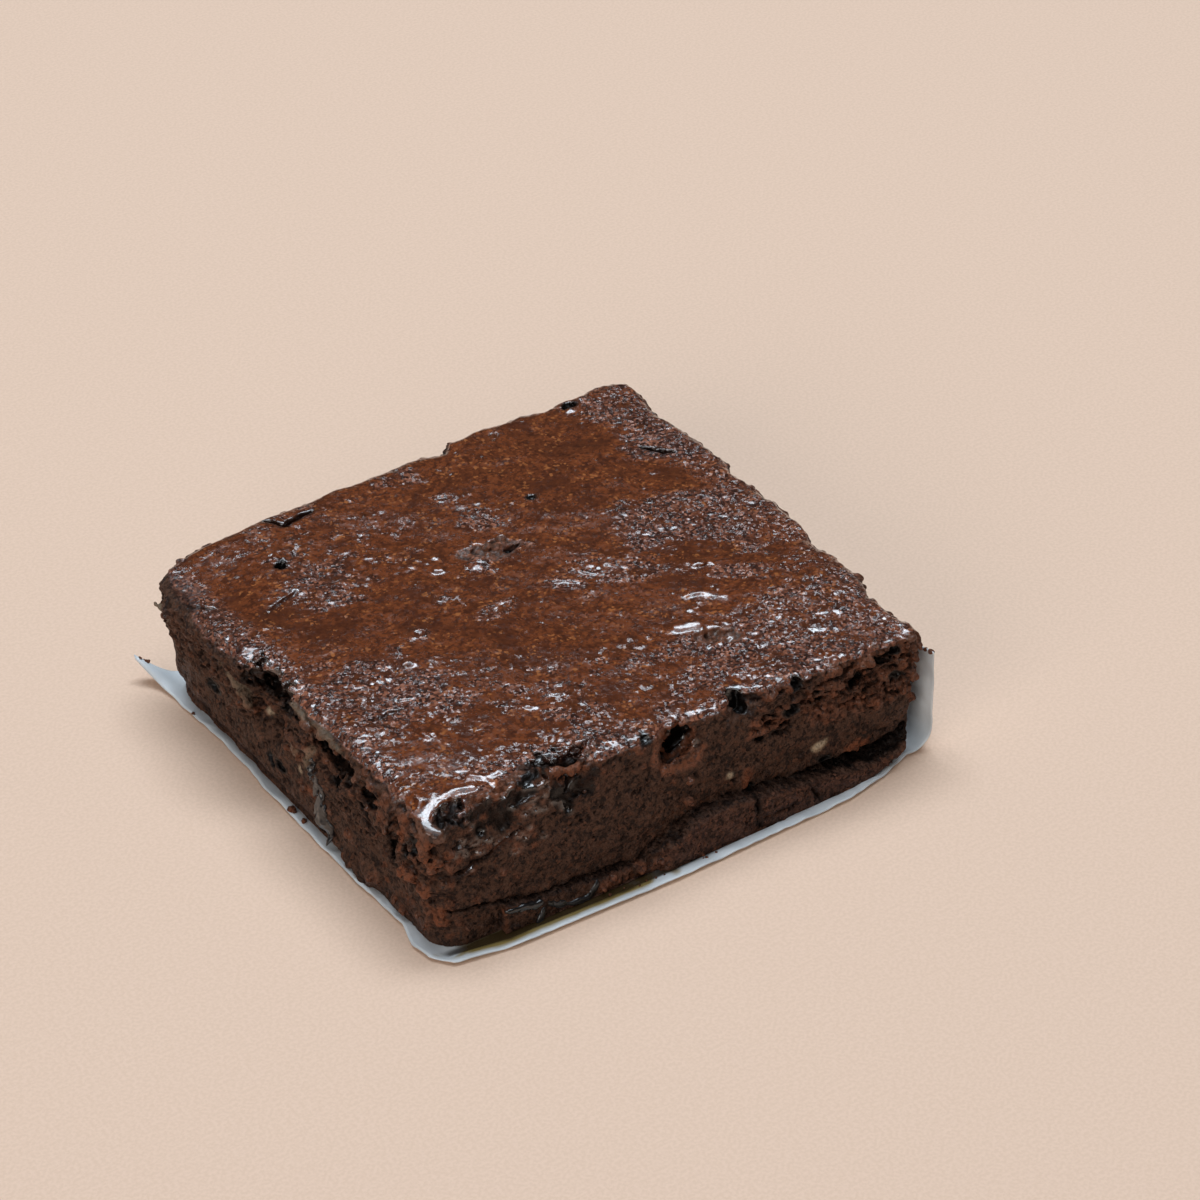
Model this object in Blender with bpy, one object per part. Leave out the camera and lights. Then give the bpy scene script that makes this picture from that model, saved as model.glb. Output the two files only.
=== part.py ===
"""A square chocolate brownie, cut by hand, on the sheet of baking paper that it is sold with.

X runs along the long cut face at the front, Y from the front to the back, Z up.
The brownie is one lofted solid: rings of points climb its four cut faces, roll over the
edge of the crust and meet a gently swollen top. The paper is one bent sheet under it.
"""

import math

import bmesh
import bpy
from mathutils import Vector

MM = 0.001

# The stack, from the table up
PAPER_THICKNESS = 0.3 * MM
GAP = 0.3 * MM
BASE_Z = PAPER_THICKNESS + GAP
TOP_Z = 22.2 * MM

# Corners of the cut block, in order round it: left front, right front, right back, left back
FOOT = [(-39.6, -37.2), (39.5, -36.9), (39.5, 37.0), (-39.6, 36.2)]
RIM = [(-40.3, -35.4), (40.2, -38.0), (42.9, 39.8), (-42.7, 38.5)]
FOOT_RADII = (1.6, 1.2, 3.0, 4.0)
RIM_RADII = (2.6, 1.6, 3.0, 8.5)
ROLLS = (2.6, 1.3, 1.5, 2.4)
SIDES = ("front", "right", "back", "left")

# How finely the block is lofted
CELLS_X = 40
CELLS_Y = 36
LIP_RINGS = 4
WALL_RINGS = 9
ROLL_RINGS = 3

# Forms on the walls, in millimetres: side, place along it, height, half width, half height,
# and how far each stands out (+) or is torn in (-)
WALL_FORMS = (
    ("front", -18.0, 20.6, 3.6, 1.7, -1.8),
    ("front", -0.5, 18.4, 3.2, 2.6, -1.9),
    ("front", 10.4, 21.6, 2.6, 2.4, -2.4),
    ("front", 33.0, 18.4, 3.8, 1.6, -1.4),
    ("front", 24.0, 14.6, 14.0, 2.8, -0.6),
    ("front", -10.0, 10.0, 24.0, 4.4, 0.4),
    ("front", -31.0, 18.5, 6.0, 2.6, -0.7),
    ("left", 21.0, 21.0, 12.5, 3.0, 1.2),
    ("left", 20.0, 14.6, 9.0, 3.4, -0.6),
    ("left", -14.0, 19.5, 20.0, 4.0, -0.7),
    ("left", 13.6, 13.0, 1.8, 4.4, 0.9),
    ("left", 6.0, 14.6, 4.0, 4.6, -3.4),
    ("left", -10.6, 16.6, 3.4, 2.6, -1.6),
    ("left", -27.5, 16.0, 3.6, 5.0, 0.7),
    ("left", 2.0, 4.4, 26.0, 3.4, 0.7),
    ("left", -17.0, 2.4, 4.2, 2.0, 0.8),
    ("right", -30.0, 20.0, 5.0, 2.6, -1.3),
    ("right", -12.5, 20.5, 3.4, 3.4, -1.1),
    ("right", 8.2, 21.5, 1.8, 2.2, -1.1),
    ("right", -2.0, 21.5, 20.0, 2.4, 0.7),
    ("right", -20.0, 6.0, 15.0, 3.2, 0.9),
    ("right", 20.0, 5.0, 16.0, 2.8, 0.7),
    ("right", 29.0, 20.0, 3.6, 3.4, -1.2),
    ("back", 8.8, 21.6, 1.7, 2.4, -1.6),
    ("back", -8.0, 12.0, 12.0, 3.4, -0.8),
    ("back", 17.0, 20.0, 7.0, 3.0, 0.7),
    ("back", 26.0, 8.0, 8.0, 3.0, -0.7),
    ("back", -24.0, 5.0, 9.0, 3.0, 0.5),
)

# The bottom crust, squeezed out under the knife along the front: its top edge in (x, height),
# and how far it stands out on either side of the break
LIP_TOP = (
    (-40.0, 6.6),
    (-32.0, 5.8),
    (-25.0, 3.9),
    (-8.0, 2.4),
    (-5.0, 3.6),
    (1.0, 6.4),
    (7.0, 6.9),
    (20.0, 4.8),
    (31.0, 2.9),
    (36.0, 3.4),
    (40.0, 5.2),
)
LIP_BREAK_X = -5.5
LIP_OUT = (1.1, 2.6)
LIP_STEP = 0.7
KNEE = 4.8

# Swells (+) and sunk places (-) of the top, in millimetres: x, y, radius, height
TOP_FORMS = (
    (-40.0, 30.0, 11.0, -1.5),
    (-38.0, -30.0, 9.0, -0.6),
    (12.0, -24.0, 11.0, -0.35),
    (-14.0, 22.0, 9.0, -0.4),
    (18.0, 17.0, 15.0, 0.45),
    (-16.0, -8.0, 13.0, 0.35),
    (30.0, -20.0, 9.0, 0.35),
    (28.0, 33.0, 7.0, -0.4),
)

# The sheet of paper: its front edge in (x, y), and the places of its other edges
PAPER_FRONT = (
    (-41.0, -36.4),
    (-39.0, -39.4),
    (-30.0, -41.0),
    (-4.0, -41.9),
    (26.0, -41.4),
    (33.0, -40.0),
    (38.5, -38.1),
    (43.0, -38.3),
)
PAPER_LEFT_X = -41.0 * MM
PAPER_BACK_Y = 38.4 * MM
PAPER_TIP = Vector((-43.4, 41.2, 4.0)) * MM
TIP_REACH = 5.5 * MM
FLAP_X = 43.0 * MM
FLAP_BEND = 3.5 * MM
FLAP_NEAR = 17.0 * MM
FLAP_FAR = 11.0 * MM
PAPER_COLUMNS = (0.0, 0.025, 0.07, 0.16, 0.28, 0.4, 0.6, 0.74, 0.83, 0.9, 0.96, 1.0)
PAPER_ROWS = (0.0, 0.03, 0.09, 0.19, 0.3, 0.4, 0.6, 0.7, 0.8, 0.88, 0.95, 1.0)
BEND_STEPS = 5
FLAP_STEPS = 5


def clear_scene():
    for obj in list(bpy.data.objects):
        bpy.data.objects.remove(obj, do_unlink=True)


def mix(a, b, t):
    return a + (b - a) * t


def smooth_step(value):
    value = min(max(value, 0.0), 1.0)
    return value * value * (3.0 - 2.0 * value)


def along_line(points, at):
    """The height, in millimetres, of an open line of (place, height) points."""
    for (left, low), (right, high) in zip(points, points[1:]):
        if at <= right:
            return mix(low, high, min(max((at - left) / (right - left), 0.0), 1.0))
    return points[-1][1]


def bump(*distances):
    """1 at the middle of a form, falling steeply to 0 past its half width."""
    return math.exp(-(sum(d * d for d in distances) ** 2))


def top_height(x, y):
    """The height of the crust above the table at a place in metres."""
    lift = sum(
        height * bump((x / MM - at_x) / radius, (y / MM - at_y) / radius)
        for at_x, at_y, radius, height in TOP_FORMS
    )
    ripple = 0.16 * math.sin(210.0 * x + 1.3) * math.sin(260.0 * y + 0.4)
    ripple += 0.09 * math.sin(560.0 * x - 310.0 * y)
    return TOP_Z + (lift + ripple) * MM


def lip(x, height):
    """How far the squeezed bottom crust stands out of the front wall, in millimetres."""
    reach = LIP_OUT[0] if x < LIP_BREAK_X else LIP_OUT[1]
    corner = smooth_step((41.5 - x) / 4.0) * smooth_step((x + 40.5) / 4.0)
    return reach * corner * smooth_step((along_line(LIP_TOP, x) - height) / LIP_STEP + 0.5)


def ring_height(side, at, level, rim_z):
    """The height of a ring: the lower rings end at the lip, the others climb to the rim."""
    knee = (along_line(LIP_TOP, at) if side == "front" else KNEE) * MM
    half_step = LIP_STEP * MM / 2
    if level <= LIP_RINGS:
        return mix(BASE_Z, knee - half_step, level / LIP_RINGS)
    return mix(knee + half_step, rim_z, (level - LIP_RINGS - 1) / WALL_RINGS)


def wall_relief(side, at, height):
    """How far the wall stands out at a place and a height, all in millimetres."""
    out = sum(
        amount * bump((at - place) / wide, (height - level) / tall)
        for name, place, level, wide, tall, amount in WALL_FORMS
        if name == side
    )
    if side == "front":
        out += lip(at, height)
    phase = SIDES.index(side) * 1.7
    out += 0.14 * math.sin(0.9 * at + 0.7 * height + phase)
    out += 0.11 * math.sin(2.1 * at - 0.5 * height + 2.0 * phase)
    return out


def corner_inset(distance, radius):
    """How far a rounded corner draws the side in, at a distance from the sharp corner."""
    if distance >= radius:
        return 0.0
    return radius - math.sqrt(max(radius**2 - (radius - distance) ** 2, 0.0))


def side_point(corners, radii, side, share):
    """A point on a side's outline in millimetres, and the direction out of the block."""
    start = Vector(corners[side])
    end = Vector(corners[(side + 1) % 4])
    length = (end - start).length
    forward = (end - start) / length
    outward = Vector((forward.y, -forward.x))
    first, last = radii[side], radii[(side + 1) % 4]
    arc = 1.0 - math.sqrt(0.5)
    distance = mix(arc * first, length - arc * last, share)
    inset = corner_inset(distance, first) + corner_inset(length - distance, last)
    return start + forward * distance - outward * inset, outward


def wall_places():
    """Every (side, share of the side) round the block, once each."""
    cells = (CELLS_X, CELLS_Y, CELLS_X, CELLS_Y)
    return [(side, i / cells[side]) for side in range(4) for i in range(cells[side])]


def outline_point(side, share, level):
    """The wall's point on a ring, in metres, and the direction out of the block."""
    foot, _ = side_point(FOOT, FOOT_RADII, side, share)
    rim, outward = side_point(RIM, RIM_RADII, side, share)
    rim_z = top_height(rim.x * MM, rim.y * MM) - roll_radius(side, share)
    axis = side % 2
    height = ring_height(SIDES[side], foot[axis], level, rim_z)
    place = foot.lerp(rim, (height - BASE_Z) / (rim_z - BASE_Z))
    place += outward * wall_relief(SIDES[side], place[axis], height / MM)
    return Vector((place.x * MM, place.y * MM, height)), outward


def roll_radius(side, share):
    """The radius with which the crust rolls over the edge, in metres."""
    return mix(ROLLS[side], ROLLS[(side + 1) % 4], smooth_step(share)) * MM


def wall_rings():
    """Rings of points from the foot up to the start of the flat top."""
    places = wall_places()
    rings = []
    last = LIP_RINGS + WALL_RINGS + 1
    for level in range(last + 1):
        rings.append([outline_point(side, share, level)[0] for side, share in places])
    for step in range(1, ROLL_RINGS + 1):
        angle = math.pi / 2 * step / ROLL_RINGS
        ring = []
        for side, share in places:
            rim, outward = outline_point(side, share, last)
            roll = roll_radius(side, share)
            inward = roll * (1.0 - math.cos(angle))
            point = Vector((rim.x - outward.x * inward, rim.y - outward.y * inward, 0.0))
            top = top_height(point.x, point.y)
            point.z = mix(rim.z, top, math.sin(angle))
            ring.append(point)
        rings.append(ring)
    return rings


def coons_point(edges, i, j):
    """A point inside four edges, each a list that starts where the one before it ends."""
    front, right, back, left = edges
    u = i / CELLS_X
    v = j / CELLS_Y
    low, high = front[i], back[CELLS_X - i]
    west, east = left[CELLS_Y - j], right[j]
    ruled = low.lerp(high, v) + west.lerp(east, u)
    corners = front[0].lerp(right[0], u).lerp(left[0].lerp(back[0], u), v)
    return ruled - corners


def bridge(mesh, lower, upper):
    count = len(lower)
    for i in range(count):
        after = (i + 1) % count
        mesh.faces.new((lower[i], lower[after], upper[after], upper[i]))


def fill_top(mesh, ring):
    """Covers the last ring with a swollen grid that shares its points."""
    starts = (0, CELLS_X, CELLS_X + CELLS_Y, 2 * CELLS_X + CELLS_Y)
    cells = (CELLS_X, CELLS_Y, CELLS_X, CELLS_Y)
    around = ring + ring[:1]
    edges = [around[start : start + n + 1] for start, n in zip(starts, cells)]
    front, right, back, left = edges
    places = [[vertex.co for vertex in edge] for edge in edges]
    grid = {}
    for i in range(CELLS_X + 1):
        grid[i, 0] = front[i]
        grid[i, CELLS_Y] = back[CELLS_X - i]
    for j in range(CELLS_Y + 1):
        grid[0, j] = left[CELLS_Y - j]
        grid[CELLS_X, j] = right[j]
    for i in range(1, CELLS_X):
        for j in range(1, CELLS_Y):
            point = coons_point(places, i, j)
            point.z = top_height(point.x, point.y)
            grid[i, j] = mesh.verts.new(point)
    for i in range(CELLS_X):
        for j in range(CELLS_Y):
            mesh.faces.new((grid[i, j], grid[i + 1, j], grid[i + 1, j + 1], grid[i, j + 1]))


def material(name, color, roughness):
    made = bpy.data.materials.new(name)
    made.use_nodes = True
    shader = made.node_tree.nodes["Principled BSDF"]
    shader.inputs["Base Color"].default_value = (*color, 1.0)
    shader.inputs["Roughness"].default_value = roughness
    return made


def new_object(name, mesh, surface):
    """Turns a bmesh into a smooth object of the scene."""
    data = bpy.data.meshes.new(name)
    mesh.to_mesh(data)
    mesh.free()
    data.materials.append(surface)
    data.shade_smooth()
    obj = bpy.data.objects.new(name, data)
    bpy.context.scene.collection.objects.link(obj)
    return obj


def make_brownie():
    mesh = bmesh.new()
    rings = [[mesh.verts.new(point) for point in ring] for ring in wall_rings()]
    for lower, upper in zip(rings, rings[1:]):
        bridge(mesh, lower, upper)
    mesh.faces.new(list(reversed(rings[0])))
    fill_top(mesh, rings[-1])
    bmesh.ops.recalc_face_normals(mesh, faces=mesh.faces)
    return new_object("brownie", mesh, material("brownie", (0.105, 0.034, 0.016), 0.45))


def flap_path(length):
    """(x, z) at a length along the sheet's right end, which bends up and then stands."""
    arc = FLAP_BEND * math.pi / 2
    if length <= arc:
        angle = length / FLAP_BEND
        reach = math.sin(angle)
        return FLAP_X - FLAP_BEND * (1.0 - reach), FLAP_BEND * (1.0 - math.cos(angle))
    climb = length - arc
    lean = 0.05 * climb * climb / FLAP_NEAR
    return FLAP_X - lean, FLAP_BEND + climb


def column_points(x, z_share, length):
    """One column of the sheet, from its front edge to its back edge."""
    column = []
    for row in PAPER_ROWS:
        if length is None:
            place_x, place_z = x, 0.0
        else:
            stand = mix(FLAP_NEAR, FLAP_FAR, row) - FLAP_BEND
            arc = FLAP_BEND * math.pi / 2
            place_x, place_z = flap_path(length if z_share is None else arc + stand * z_share)
        front = along_line(PAPER_FRONT, place_x / MM) * MM
        place_y = mix(front, PAPER_BACK_Y, row)
        column.append(Vector((place_x, place_y, place_z)))
    return column


def sheet_columns():
    flat_end = FLAP_X - FLAP_BEND
    columns = [
        column_points(mix(PAPER_LEFT_X, flat_end, share), None, None)
        for share in PAPER_COLUMNS
    ]
    arc = FLAP_BEND * math.pi / 2
    for step in range(1, BEND_STEPS + 1):
        columns.append(column_points(0.0, None, arc * step / BEND_STEPS))
    for step in range(1, FLAP_STEPS + 1):
        columns.append(column_points(0.0, step / FLAP_STEPS, 0.0))
    return columns


def pull_tip(point):
    """Draws the sheet's left back corner out to its lifted tip."""
    corner = Vector((PAPER_LEFT_X, PAPER_BACK_Y, 0.0))
    near = max(1.0 - (point - corner).length / TIP_REACH, 0.0)
    return point + (PAPER_TIP - corner) * near * near * near


def make_paper():
    mesh = bmesh.new()
    columns = [[mesh.verts.new(pull_tip(p)) for p in column] for column in sheet_columns()]
    for left, right in zip(columns, columns[1:]):
        for i in range(len(PAPER_ROWS) - 1):
            mesh.faces.new((left[i], right[i], right[i + 1], left[i + 1]))
    paper = new_object("baking_paper", mesh, material("paper", (0.56, 0.58, 0.6), 0.5))
    thick = paper.modifiers.new("thickness", "SOLIDIFY")
    thick.thickness = PAPER_THICKNESS
    thick.offset = 1.0
    thick.use_even_offset = True
    return paper


def centre_on_box(objects):
    """Moves the pieces together, so that the middle of their common box is over the origin."""
    bpy.context.view_layer.update()
    corners = [obj.matrix_world @ Vector(c) for obj in objects for c in obj.bound_box]
    middle_x = (min(c.x for c in corners) + max(c.x for c in corners)) / 2
    middle_y = (min(c.y for c in corners) + max(c.y for c in corners)) / 2
    for obj in objects:
        obj.location = (-middle_x, -middle_y, 0.0)


clear_scene()
centre_on_box([make_brownie(), make_paper()])
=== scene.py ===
"""The looks of a hand-cut chocolate brownie on its sheet of baking paper.

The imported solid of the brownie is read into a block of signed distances, which is then worked
like clay: relief is pushed into the crust and the cut faces, bubbles and holes are carved, and
crumbs are pressed on. Its surface becomes the crust and the crumb faces. Loose crumbs, syrup,
the thin crinkled paper, the floor, the lights and the camera follow.
Lengths are in millimetres, as MM turns them into the frame's metres.
"""

import math

import bmesh
import bpy
import numpy as np
import openvdb
from mathutils import Matrix, Vector


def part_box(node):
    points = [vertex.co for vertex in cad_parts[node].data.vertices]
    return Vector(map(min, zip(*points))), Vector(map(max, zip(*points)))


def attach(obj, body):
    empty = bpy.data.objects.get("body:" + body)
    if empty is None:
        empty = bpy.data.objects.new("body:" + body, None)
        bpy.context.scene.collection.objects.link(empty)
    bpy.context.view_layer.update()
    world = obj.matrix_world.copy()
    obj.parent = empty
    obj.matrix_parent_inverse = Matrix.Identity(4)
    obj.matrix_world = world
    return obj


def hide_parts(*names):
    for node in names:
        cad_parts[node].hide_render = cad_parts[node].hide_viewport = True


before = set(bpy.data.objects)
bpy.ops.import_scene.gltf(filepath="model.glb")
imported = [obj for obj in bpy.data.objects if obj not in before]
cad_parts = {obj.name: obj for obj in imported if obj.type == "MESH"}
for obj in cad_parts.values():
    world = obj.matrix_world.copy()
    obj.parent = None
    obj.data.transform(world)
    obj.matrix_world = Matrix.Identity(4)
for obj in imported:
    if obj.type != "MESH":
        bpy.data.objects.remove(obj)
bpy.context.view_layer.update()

MM = 0.001
# The shapes below are placed about the middle of the cut square, which lies here in the frame.
SQUARE_MIDDLE = np.array((0.2, 0.267, 0.0))
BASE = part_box("brownie")[0].z / MM
FOOT_DROP = 0.38
LOWEST = 0.22

# The clay's grid
VOXEL = 0.25
BAND_VOXELS = 10
MARGIN_VOXELS = 8

# For each side of the block: the axes along its face, the axis out of it, and which way is out
SIDES = {
    "top": (0, 1, 2, 1),
    "front": (0, 2, 1, -1),
    "back": (0, 2, 1, 1),
    "left": (1, 2, 0, -1),
    "right": (1, 2, 0, 1),
}

# Patches of the crust in (x, y), half length, half width and turn in degrees, with how wet each
# is: above 0 is smooth and syrupy, below 0 dry and sparkling
CRUST_PATCHES = (
    (15.0, 25.0, 19.0, 13.0, -10.0, 1.0),
    (32.5, 12.6, 7.0, 3.2, -25.0, 0.9),
    (-8.0, 3.0, 14.0, 12.0, -20.0, 0.9),
    (4.0, -10.0, 19.0, 6.5, -12.0, 1.0),
    (10.0, 10.0, 9.0, 6.0, -30.0, 0.8),
    (-35.0, 24.0, 8.0, 11.0, 20.0, 0.9),
    (-29.0, 7.0, 12.0, 5.5, -12.0, 1.0),
    (-27.0, -23.0, 12.0, 4.2, -14.0, 1.0),
    (-2.5, -26.5, 4.4, 4.0, 0.0, 1.0),
    (-10.0, 31.0, 6.0, 6.0, -30.0, 0.5),
    (20.0, -15.0, 6.0, 4.5, -35.0, 1.0),
    (26.0, -4.5, 5.0, 2.2, -30.0, 0.9),
    (39.0, -7.0, 3.5, 4.5, 40.0, 0.8),
    (7.0, -25.5, 4.0, 1.6, -12.0, 0.7),
    (30.0, 2.0, 12.5, 6.5, -28.0, -1.2),
    (37.0, 31.0, 5.5, 4.0, -45.0, -1.1),
    (36.0, 21.0, 5.5, 5.0, -50.0, -1.2),
    (4.0, 20.0, 3.4, 6.0, 15.0, -1.4),
    (-24.0, 19.0, 6.0, 6.0, -35.0, -1.0),
    (0.5, 33.5, 3.0, 3.6, 0.0, -0.8),
    (-8.0, 27.5, 2.4, 3.2, 0.0, -0.6),
    (-28.0, -7.5, 9.0, 5.5, -50.0, -1.0),
    (-35.0, -14.0, 5.0, 5.0, 0.0, -0.8),
    (-9.5, -26.5, 3.2, 6.5, 12.0, -1.3),
    (24.0, -28.0, 19.0, 9.0, -6.0, -0.9),
    (26.5, -11.5, 4.0, 2.0, -40.0, -0.8),
    (12.0, -1.5, 7.5, 2.8, -43.0, -1.2),
    (-2.0, 10.0, 3.6, 3.0, -20.0, -1.1),
    (-19.0, -31.0, 16.0, 2.6, -8.0, -0.9),
)

# The top of the squeezed bottom crust along the front, in (x, height)
LIP_TOP = (
    (-40.0, 6.6),
    (-32.0, 5.8),
    (-25.0, 3.9),
    (-8.0, 2.4),
    (-5.0, 3.6),
    (1.0, 6.4),
    (7.0, 6.9),
    (20.0, 4.8),
    (31.0, 2.9),
    (36.0, 3.4),
    (40.0, 5.2),
)


def mix(a, b, t):
    return a + (b - a) * t


def smooth(value, low=0.0, high=1.0):
    """0 below low, 1 above high, and a smooth rise between them."""
    share = np.clip((value - low) / (high - low), 0.0, 1.0)
    return share * share * (3.0 - 2.0 * share)


# ---------------------------------------------------------------------------------- noise


def gradient_noise(x, y, seed):
    """Smooth random hills and hollows of about one unit across, from about -0.7 to 0.7."""
    angles = np.random.default_rng(seed).uniform(0.0, 2.0 * math.pi, (256, 256))
    cell_x, cell_y = np.floor(x).astype(int), np.floor(y).astype(int)
    part_x, part_y = x - cell_x, y - cell_y
    ease_x = part_x**3 * (part_x * (part_x * 6.0 - 15.0) + 10.0)
    ease_y = part_y**3 * (part_y * (part_y * 6.0 - 15.0) + 10.0)

    def corner(i, j):
        angle = angles[(cell_x + i) & 255, (cell_y + j) & 255]
        return np.cos(angle) * (part_x - i) + np.sin(angle) * (part_y - j)

    low = mix(corner(0, 0), corner(1, 0), ease_x)
    high = mix(corner(0, 1), corner(1, 1), ease_x)
    return mix(low, high, ease_y)


def layered(x, y, seed, octaves=3, fall=0.5):
    """Several sizes of gradient noise on each other."""
    total = np.zeros(np.broadcast(x, y).shape)
    for octave in range(octaves):
        scale = 2.0**octave
        total += fall**octave * gradient_noise(x * scale + 7.3 * octave, y * scale, seed + octave)
    return total


def spots(x, y, seed):
    """The distance to the nearest of one random point in each unit cell."""
    random = np.random.default_rng(seed).uniform(0.0, 1.0, (64, 64, 2))
    cell_x, cell_y = np.floor(x).astype(int), np.floor(y).astype(int)
    nearest = np.full(np.broadcast(x, y).shape, 9.0)
    for i in (-1, 0, 1):
        for j in (-1, 0, 1):
            point = random[(cell_x + i) & 63, (cell_y + j) & 63]
            away_x = cell_x + i + point[..., 0] - x
            away_y = cell_y + j + point[..., 1] - y
            nearest = np.minimum(nearest, np.hypot(away_x, away_y))
    return nearest


def spline_rows(count, spacing, start):
    """A matrix that reads a smooth curve through random lattice values at evenly set places."""
    place = start + np.arange(count) / spacing
    cell = np.floor(place).astype(int)
    t = place - cell
    weights = np.stack(
        [(1 - t) ** 3, 3 * t**3 - 6 * t**2 + 4, -3 * t**3 + 3 * t**2 + 3 * t + 1, t**3]
    )
    rows = np.zeros((count, cell.max() + 4), np.float32)
    for k in range(4):
        rows[np.arange(count), cell + k] += weights[k] / 6.0
    return rows


def solid_noise(shape, size, seed):
    """Random lumps through the whole block, of the given size in millimetres along X, Y, Z."""
    random = np.random.default_rng(seed)
    rows = [spline_rows(n, max(s / VOXEL, 1.0), random.uniform()) for n, s in zip(shape, size)]
    lattice = random.normal(0.0, 1.0, [r.shape[1] for r in rows]).astype(np.float32)
    lattice = np.tensordot(rows[0], lattice, (1, 0))
    lattice = np.tensordot(rows[1], lattice, (1, 1)).transpose(1, 0, 2)
    return np.ascontiguousarray(lattice @ rows[2].T)


# ----------------------------------------------------------------------------------- clay


def blurred(field, passes=1):
    """The field averaged with its neighbours along each axis."""
    for _ in range(passes):
        for axis in range(3):
            moved = np.swapaxes(field, 0, axis)
            softer = moved.copy()
            softer[1:-1] = 0.5 * moved[1:-1] + 0.25 * (moved[2:] + moved[:-2])
            field = np.swapaxes(softer, 0, axis)
    return np.ascontiguousarray(field)


class Clay:
    """Signed distances in millimetres on a grid of voxels: negative inside the food."""

    def __init__(self, node):
        data = node.data
        data.calc_loop_triangles()
        points = np.empty(len(data.vertices) * 3, np.float32)
        data.vertices.foreach_get("co", points)
        corners = np.empty(len(data.loop_triangles) * 3, np.int32)
        data.loop_triangles.foreach_get("vertices", corners)
        points = points.reshape(-1, 3) / MM - SQUARE_MIDDLE
        grid = openvdb.FloatGrid.createLevelSetFromPolygons(
            points.astype(np.float32),
            triangles=corners.reshape(-1, 3).astype(np.uint32),
            transform=openvdb.createLinearTransform(voxelSize=VOXEL),
            halfWidth=float(BAND_VOXELS),
        )
        low = np.floor(points.min(0) / VOXEL).astype(int) - MARGIN_VOXELS
        high = np.ceil(points.max(0) / VOXEL).astype(int) + MARGIN_VOXELS
        self.start = tuple(int(v) for v in low)
        self.depth = np.full(tuple(high - low + 1), BAND_VOXELS * VOXEL, np.float32)
        grid.copyToArray(self.depth, ijk=self.start)
        self.axes = [
            ((low[a] + np.arange(self.depth.shape[a])) * VOXEL).astype(np.float32)
            for a in range(3)
        ]
        self.grit = 0.5 * solid_noise(self.depth.shape, (0.9, 0.9, 0.9), 3)
        self.grit += 0.5 * solid_noise(self.depth.shape, (0.5, 0.5, 0.5), 4)
        self.paint = {
            name: np.zeros(self.depth.shape, np.float32)
            for name in ("wet", "red", "pale_and_sheen", "torn", "painted_shade", "glint")
        }

    def index(self, axis, place):
        return int(np.clip(np.searchsorted(self.axes[axis], place), 0, self.depth.shape[axis] - 1))

    def skin(self, side, a, b):
        """How far out the surface is, at (a, b) on one side of the block."""
        first, second, out, sign = SIDES[side]
        place = [slice(None)] * 3
        place[first] = self.index(first, a)
        place[second] = self.index(second, b)
        column = self.depth[tuple(place)][::-sign]
        inside = np.flatnonzero(column < 0.0)
        if not len(inside):
            return 0.0
        return float(self.axes[out][::-sign][inside[0]])

    def form(self, side, a, b, half_a, half_b, half_out, turn=0.0, sink=0.0, wobble=0.5):
        """Where an uneven ellipsoid on a side's surface lies, and the distance to it there."""
        first, second, out, sign = SIDES[side]
        centre = np.zeros(3)
        centre[first], centre[second] = a, b
        centre[out] = self.skin(side, a, b) - sign * sink
        reach = max(half_a, half_b, half_out) * 1.25 + 0.8
        slices = []
        for axis in range(3):
            low = self.index(axis, centre[axis] - reach)
            slices.append(slice(low, max(self.index(axis, centre[axis] + reach), low + 1)))
        slices = tuple(slices)
        shape = [(-1, 1, 1), (1, -1, 1), (1, 1, -1)]
        away = [
            (self.axes[k][slices[k]] - centre[k]).reshape(shape[k]).astype(np.float32)
            for k in range(3)
        ]
        cos, sin = math.cos(math.radians(turn)), math.sin(math.radians(turn))
        share_a = (cos * away[first] + sin * away[second]) / half_a
        share_b = (cos * away[second] - sin * away[first]) / half_b
        share_out = away[out] / half_out
        outer = np.sqrt(share_a**2 + share_b**2 + share_out**2) + 1e-4
        steep = np.sqrt(
            (share_a / half_a) ** 2 + (share_b / half_b) ** 2 + (share_out / half_out) ** 2
        )
        smallest = min(half_a, half_b, half_out)
        rough = wobble * (0.15 + smallest) * self.grit[slices]
        return slices, outer * (outer - 1.0) / (steep + 1e-4) + rough

    def colour(self, slices, distance, paint):
        for name, amount in (paint or {}).items():
            area = self.paint[name][slices]
            cover = smooth(-distance, -0.5, -0.15)
            area[...] = mix(area, np.float32(amount), cover.astype(np.float32))

    def carve(self, *form, paint=None, blend=0.2, **more):
        slices, distance = self.form(*form, **more)
        own = self.depth[slices]
        near = np.maximum(blend - np.abs(own + distance), 0.0) / blend
        self.depth[slices] = np.maximum(own, -distance) + near * near * blend * 0.25
        self.colour(slices, distance, paint)

    def press_on(self, *form, paint=None, blend=0.3, **more):
        slices, distance = self.form(*form, **more)
        own = self.depth[slices]
        near = np.maximum(blend - np.abs(own - distance), 0.0) / blend
        self.depth[slices] = np.minimum(own, distance) - near * near * blend * 0.25
        self.colour(slices, distance, paint)

    def facing(self):
        """How much each voxel faces each side, from 0 to 1."""
        slope = np.gradient(self.depth, VOXEL)
        up = smooth(slope[2], 0.45, 0.85).astype(np.float32)
        rest = 1.0 - up
        shares = {"top": up}
        for side in ("front", "back", "left", "right"):
            _, _, out, sign = SIDES[side]
            shares[side] = smooth(sign * slope[out], 0.35, 0.8).astype(np.float32) * rest
        return shares

    def spread(self, side, field):
        """A field over one side's face, stretched through the block."""
        first, second, _, _ = SIDES[side]
        shape = [1, 1, 1]
        shape[first], shape[second] = field.shape
        return field.reshape(shape).astype(np.float32)

    def grid(self):
        x, y, z = self.axes
        return x[:, None, None], y[None, :, None], z[None, None, :]

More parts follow.
